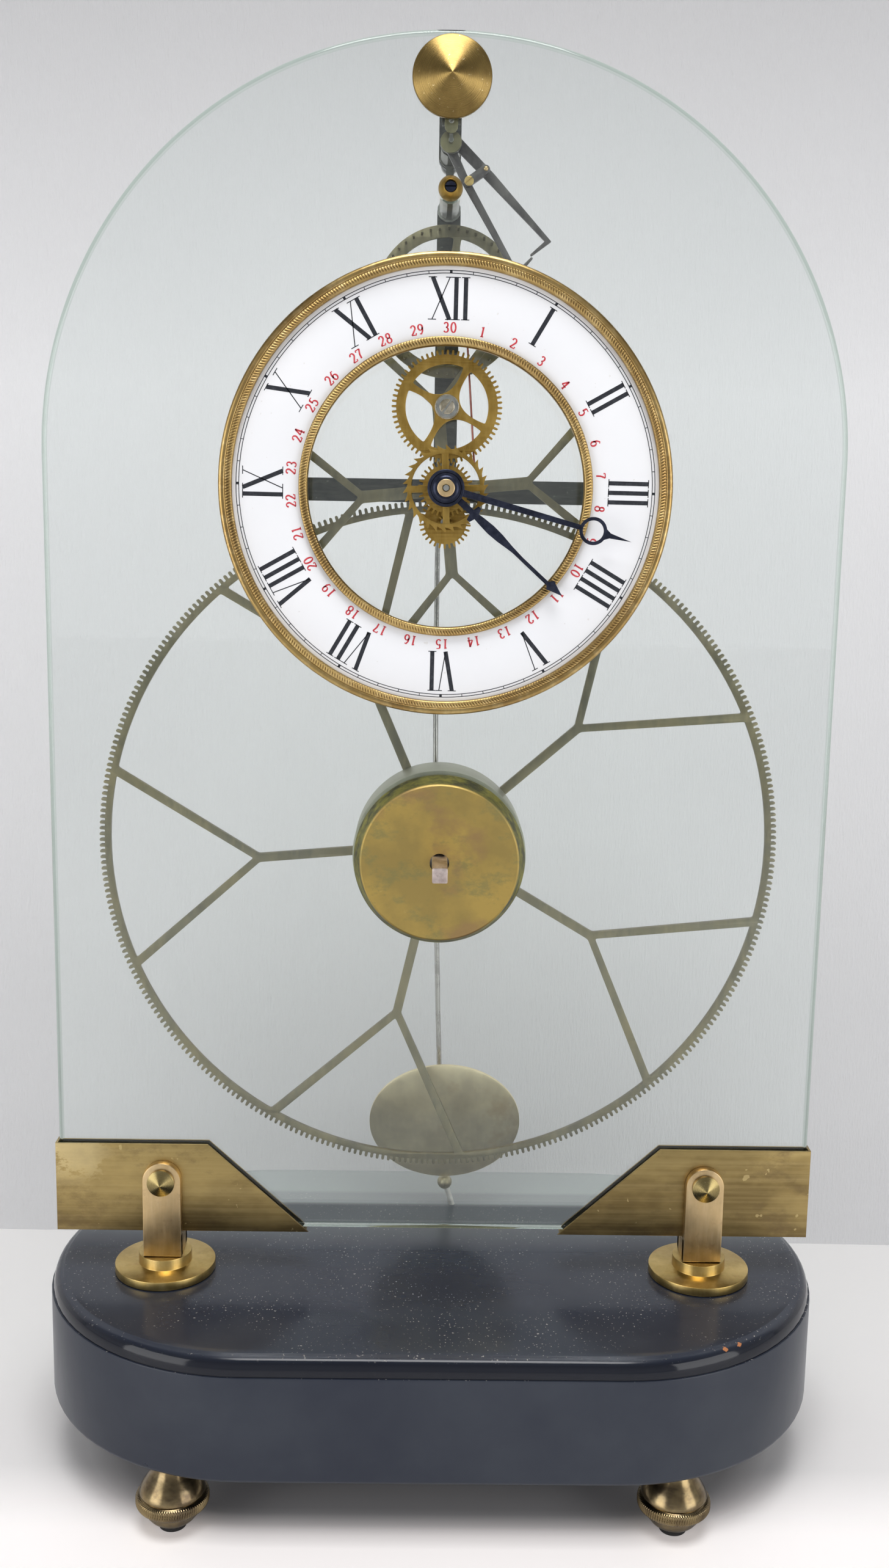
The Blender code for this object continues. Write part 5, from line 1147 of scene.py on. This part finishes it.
# Hands in blued steel; the leaf of the hour hand is height and half width in millimetres
hands = {"minuteTurn": radians(105.0), "root": 1.15 * mm, "neck": 0.85 * mm, "start": 5.0 * mm, "ring": 4.6 * mm,
         "ringHole": 3.45 * mm, "ringAt": 50.4 * mm, "ringGap": 0.40, "tip": 63.6 * mm,
         "hourTurn": radians(131.4), "boss": (2.0 * mm, 5.5 * mm),
         "leaf": ((5.0, 1.15), (9.6, 1.05), (11.4, 0.95), (11.9, 2.9), (13.1, 2.9), (13.7, 1.1), (16.0, 1.35),
                  (20.0, 1.62), (24.0, 1.45), (29.0, 0.85), (34.0, 0.50), (45.6, 0.42), (46.9, 1.95), (48.6, 1.25),
                  (52.1, 0.04))}


def makeHands(s):
    place = axle["centre_turn"]
    low, high = boxOf("minute_hand")
    front, back = low[1], high[1]
    half, neck, outer, centre = s["root"], s["neck"], s["ring"], s["ringAt"]
    near = asin(neck / outer)
    left = arc(outer, pi + near, 2 * pi - s["ringGap"], 20, (0, centre))
    right = arc(outer, s["ringGap"], pi - near, 20, (0, centre))
    below, above = centre - outer * cos(near), centre + outer + 1.2 * mm
    outline = np.vstack([[(-half, s["start"]), (-neck, below)], left,
                         [(-neck, above), (0, s["tip"]), (neck, above)], right,
                         [(neck, below), (half, s["start"])]])
    loops = [swung(loop, s["minuteTurn"]) for loop in (outline, circle(s["ringHole"], 40, (0, centre)))]
    collet = [(half, front), (3.6 * mm, front), (4.1 * mm, front + 0.35 * mm), (4.9 * mm, front + 0.35 * mm),
              (5.1 * mm, front - 0.15 * mm), (5.9 * mm, front - 0.15 * mm), (6.1 * mm, front + 0.1 * mm),
              (6.1 * mm, back), (half, back)]
    meshes = [flatMesh(loops, front, back, place, 0.12 * mm),
              turnedMesh(softened(collet, 0.12 * mm, 3), place, 96)]
    finished("minuteHand", joined(meshes), metals["blued"], "centre_group", ["minute_hand"])
    low, high = boxOf("hour_hand")
    side = np.array(s["leaf"]) * mm
    leaf = np.vstack([np.stack([-side[:, 1], side[:, 0]], -1), np.stack([side[::-1, 1], side[::-1, 0]], -1)])
    boss = softened(ringProfile(*s["boss"], low[1], high[1]), 0.1 * mm, 3)
    meshes = [flatMesh([swung(leaf, s["hourTurn"])], low[1], high[1], place, 0.12 * mm),
              turnedMesh(boss, place, 64)]
    finished("hourHand", joined(meshes), metals["blued"], "hour_group", ["hour_hand"])


makeHands(hands)


# Small turned pieces in front of the glass and on the pillars
small = {"cone": 12.9 * mm, "coneBore": 2.8 * mm, "coneLight": (0.30, 0.205, 0.070),
         "coneDark": (0.18, 0.120, 0.042), "spacing": 0.3 * mm, "ball": 4.0 * mm, "ballFrom": 0.55,
         "ballTo": pi - 0.5, "nutBore": 1.1 * mm, "nut": 2.9 * mm}


def makeSmallTurned(s):
    low, high = boxOf("cone_nut")
    middle = (low + high) / 2 * (1, 0, 1)
    radius, front, back = s["cone"], low[1], high[1]
    cone = grooves((0, front), (radius - 0.15 * mm, back - 1.25 * mm), 70, -0.014 * mm)
    cone += [(radius, back - 1.05 * mm), (radius, back), (s["coneBore"], back), (s["coneBore"], back - 2.0 * mm),
             (0, back - 2.0 * mm)]
    finish = makeSpun("coneBrass", middle, s["coneLight"], s["coneDark"], s["spacing"])
    finished("coneNut", turnedMesh(cone, middle, 192), finish, "stand", ["cone_nut"], 20)
    low, high = boxOf("ball_nut")
    middle = (low + high) / 2 * (1, 0, 1)
    turn = np.linspace(s["ballFrom"], s["ballTo"], 20)
    along = low[1] + (high[1] - low[1]) * (0.5 - 0.5 * np.cos(turn) / cos(0.5))
    shell = np.stack([s["ball"] * np.sin(turn), np.clip(along, low[1], high[1])], -1)
    hollow = [(2.15 * mm, high[1]), (2.15 * mm, low[1] + 2.2 * mm), (2.0 * mm, low[1] + 1.4 * mm),
              (1.95 * mm, low[1] + 0.3 * mm)]
    profile = np.vstack([shell, hollow])
    finished("ballNut", turnedMesh(profile, middle, 72), metals["golden"], "stand", ["ball_nut"], 40)
    head = slottedHead(1.75 * mm, 0.45 * mm, low[1] + 0.6 * mm, low[1] + 2.4 * mm, middle, radians(90))
    finished("ballScrew", joined(head), metals["blued"], "stand")
    low, high = boxOf("hand_nut")
    nut = softened(ringProfile(s["nutBore"], s["nut"], low[1], high[1]), 0.3 * mm, 4)
    finished("handNut", turnedMesh(nut, axle["centre_turn"], 64), metals["bronze"], "centre_group", ["hand_nut"])


makeSmallTurned(small)


# A round bar along a path through the given points, its section kept square to the path
def tubeMesh(path, radius, sides=24):
    path = np.array(path, float)
    ahead = np.gradient(path, axis=0)
    ahead /= np.linalg.norm(ahead, axis=1, keepdims=True)
    side = np.cross(ahead, (0, 1, 0.001))
    side /= np.linalg.norm(side, axis=1, keepdims=True)
    other = np.cross(ahead, side)
    turn = fullTurn(sides)[None, :, None]
    radius = np.broadcast_to(np.array(radius, float), len(path))[:, None, None]
    points = path[:, None] + radius * (side[:, None] * np.cos(turn) + other[:, None] * np.sin(turn))
    ends = np.repeat(path[[0, -1]][:, None], sides, 1)
    return gridMesh(np.vstack([ends[:1], points, ends[1:]]))


def tilted(mesh, tilt, lean, drop, middle):  # leans about y, then drops, then tilts about x
    mesh.transform(Matrix.Translation(middle) @ Matrix.Rotation(tilt, 4, "X") @ Matrix.Translation((0, 0, -drop))
                   @ Matrix.Rotation(-lean, 4, "Y"))
    return mesh


pendulum = {"tilt": radians(22), "lean": radians(14), "edge": 0.6 * mm, "thick": 3.2 * mm, "radius": 29.2 * mm,
            "rod": 0.95 * mm, "bow": (-0.0054, -0.504), "foot": 0.0079, "nut": 2.9 * mm, "screw": 1.15 * mm,
            "tail": 16.6 * mm, "threads": 22, "drop": 0.6 * mm}


def makePendulum(s):
    low, high = boxOf("pendulum_bob")
    middle = (low + high) / 2
    turn = fullTurn(160)
    share = np.concatenate([np.linspace(0, 0.97, 30), [0.985, 0.995, 1.0]])
    bulge = s["edge"] * 0.6 + (s["thick"] - s["edge"] * 0.6) * (1 - share ** 2) ** 0.8
    rows = np.concatenate([share, share[::-1]])[:, None]
    depth = np.repeat(np.concatenate([-bulge, bulge[::-1]])[:, None], len(turn), 1)
    points = np.stack([rows * s["radius"] * np.sin(turn), depth, rows * s["radius"] * np.cos(turn)], -1)
    mesh = tilted(gridMesh(points), s["tilt"], 0, 0, middle)
    finished("bob", mesh, metals["bob"], "pendulum_group", ["pendulum_bob"], 30)
    pivot = axle["pendulum_swing"]
    length = pivot[2] - middle[2]
    bow = np.array([s["bow"][0] * length, middle[1], pivot[2] + s["bow"][1] * length])
    end = np.array([s["foot"] * length, middle[1], middle[2]])
    top = np.array([0, middle[1], pivot[2] - 2.2 * mm])
    t = np.linspace(0, 1, 60)[:, None]
    path = (1 - t) * (1 - 2 * t) * top + 4 * t * (1 - t) * bow + t * (2 * t - 1) * end
    eye = softened(ringProfile(1.5 * mm, 3.0 * mm, middle[1] - s["rod"], middle[1] + s["rod"]), 0.2 * mm, 3)
    meshes = [tubeMesh(path, s["rod"]), turnedMesh(eye, pivot, 48)]
    finished("pendulumRod", joined(meshes), metals["rod"], "pendulum_group", ["pendulum_rod"])
    ball = np.linspace(0.3, pi - 0.3, 14)
    nut = [(0, 0)] + list(zip(s["nut"] * np.sin(ball), s["nut"] * (np.cos(ball) - 1))) + [(0, -2 * s["nut"])]
    thread = np.linspace(-2 * s["nut"] + 0.3 * mm, -s["tail"] + 0.2 * mm, s["threads"] * 4 + 1)
    ripple = s["screw"] - 0.12 * mm * (0.5 - 0.5 * np.cos(np.arange(len(thread)) * pi / 2))
    tail = [(0, thread[0])] + list(zip(ripple, thread)) + [(0.5 * mm, -s["tail"]), (0, -s["tail"])]
    for name, profile, finish, replaced in (("ratingNut", nut, "nut", ["rating_nut"]),
                                            ("ratingTail", tail, "tail", [])):
        mesh = turnedMesh(profile, (0, 0, 0), 40, "z")
        tilted(mesh, s["tilt"], s["lean"], s["radius"] + s["drop"], middle)
        finished(name, mesh, metals[finish], "pendulum_group", replaced, 30)


makePendulum(pendulum)


# CAD nodes that keep their own shape get their finish here
dressing = {
    "greySteel": ["top_pillar", "side_pillar_left", "side_pillar_right",
                  "ratchet_wheel", "click", "click_spring", "centre_arbor", "cannon_pinion", "minute_stud",
                  "day_stud", "escape_arbor"],
    "darkSteel": ["steel_frame", "rear_cock", "mainspring"],
    "cock": ["front_cock", "pallet_arbor"],
    "golden": ["dial_foot_1", "dial_foot_2", "dial_foot_3", "barrel_bush"],
    "blued": ["date_hand"],
    "copper": ["date_detent"],
}
for finish, names in dressing.items():
    for name in names:
        for slot in nodes[name].material_slots:
            slot.material = metals[finish]
print("works made")


# Stage: a pale table top, lighter in front, with a painted shadow under the base and a painted glow of light in
# front of it, and a wall close behind it with painted shade towards its top and bottom, which can be seen through
# from its back
stage = {"table": (0.93, 0.91, 0.90), "glow": (0.27, 0.245, 0.24), "under": (0.22, 0.21, 0.22),
         "wall": (0.735, 0.731, 0.742), "wallLeft": (-0.2030, 0.1579), "wallRight": (0.2161, 0.1509),
         "core": 0.064, "reach": 8.0, "wallHeight": 1.7}


def dimmed(colour, share):
    return tuple(part * share for part in colour)


def stagePlane(name, corners, finish):
    mesh = bpy.data.meshes.new(name)
    mesh.from_pydata(corners, [], [(0, 1, 2, 3)])
    mesh.materials.append(finish)
    plane = bpy.data.objects.new(name, mesh)
    bpy.context.scene.collection.objects.link(plane)


def makeStage(s):
    table = Finish("tableTop", 0.5)
    cloud = table.noise(3, 4.0, 0.6)
    colour = table.mix(cloud, dimmed(s["table"], 0.96), s["table"])
    # painted light: the table top is lighter in front and darker towards the back
    away = table.window(table.part(table.spot, 1), -0.20, 0.0)
    colour = table.mix(away, colour, dimmed(s["table"], 0.87))
    # painted shadow: the table is darkened under the base and just around it
    aside = table.maths("MAXIMUM", table.maths("ABSOLUTE", table.part(table.spot, 0)) - s["core"], 0.0)
    beyond = table.maths("SQRT", aside * aside + table.part(table.spot, 1) * table.part(table.spot, 1))
    table.feed("Base Color", table.mix(table.window(beyond, 0.066, 0.054) * 0.6, colour, s["under"]))
    # painted light: seen by the camera only, the table glows a little in front of the base
    seen = table.node("ShaderNodeLightPath", output="Is Camera Ray")
    near = table.window(table.part(table.spot, 1), -0.030, -0.066) * table.window(beyond, 0.21, 0.088)
    table.feed("Emission Color", table.mix(seen * near * table.window(beyond, 0.057, 0.069), (0, 0, 0), s["glow"]))
    table.feed("Emission Strength", 1.0)
    table.feed("Roughness", 0.35 + cloud * 0.3)
    wall = Finish("wallPaper", 0.75)
    grain = wall.noise((900, 900, 160), 4.0, 0.7)
    cloud = wall.noise(2, 3.0, 0.6)
    height = wall.part(wall.spot, 2)
    colour = wall.mix(cloud, dimmed(s["wall"], 0.97), s["wall"])
    # painted shade: the wall is darker towards its top and towards the floor
    colour = wall.mix(wall.window(height, 0.40, 0.58), colour, dimmed(s["wall"], 0.58))
    colour = wall.mix(wall.window(height, 0.38, 0.12), colour, dimmed(s["wall"], 0.85))
    wall.feed("Base Color", colour)
    wall.bump(grain, 0.0009, 0.5)
    wall.opened(wall.node("ShaderNodeNewGeometry", output="Backfacing"))
    left, right = Vector(s["wallLeft"]), Vector(s["wallRight"])
    along = (right - left).normalized() * s["reach"] / 4
    a, b = left - along, right + along
    stagePlane("wall", [(a.x, a.y, 0), (b.x, b.y, 0), (b.x, b.y, s["wallHeight"]), (a.x, a.y, s["wallHeight"])],
               wall.material)
    far = s["reach"] / 2
    stagePlane("tableTop", [(-far, -far, 0), (far, -far, 0), (far, far, 0), (-far, far, 0)], table.material)


makeStage(stage)


# Light: a strong soft lamp above and a little in front, two level with the dial, one at each side of the camera,
# and a sky that is dark overhead; each lamp has its place, the point it looks at, its size and its power
lights = {"sky": (0.94, 0.955, 1.0), "horizon": 0.58, "zenith": 0.12,
          "lamps": (("top", (0.0, -0.55, 1.55), (0, -0.02, 0.2), 0.7, 15.0),
                    ("left", (-1.00, -0.80, 0.34), (0, 0, 0.30), 0.75, 4.8),
                    ("right", (1.00, -0.80, 0.34), (0, 0, 0.30), 0.75, 4.8))}


def makeLights(s):
    world = bpy.data.worlds.new("softSky")
    bpy.context.scene.world = world
    world.use_nodes = True
    tree = world.node_tree
    sky = tree.nodes["Background"]
    sky.inputs[0].default_value = (*s["sky"], 1)
    spot = tree.nodes.new("ShaderNodeTexCoord")
    parts = tree.nodes.new("ShaderNodeSeparateXYZ")
    fade = tree.nodes.new("ShaderNodeMapRange")
    tree.links.new(spot.outputs["Generated"], parts.inputs[0])
    tree.links.new(parts.outputs[2], fade.inputs[0])
    for socket, value in ((1, 0.15), (2, 0.75), (3, s["horizon"]), (4, s["zenith"])):
        fade.inputs[socket].default_value = value
    tree.links.new(fade.outputs[0], sky.inputs[1])
    for name, spot, target, size, power in s["lamps"]:
        data = bpy.data.lights.new(name, "AREA")
        data.shape, data.size, data.energy = "SQUARE", size, power
        lamp = bpy.data.objects.new(name, data)
        lamp.location = spot
        lamp.rotation_mode = "QUATERNION"
        lamp.rotation_quaternion = (Vector(target) - Vector(spot)).to_track_quat("-Z", "Y")
        bpy.context.scene.collection.objects.link(lamp)


makeLights(lights)
print("stage and lights made")
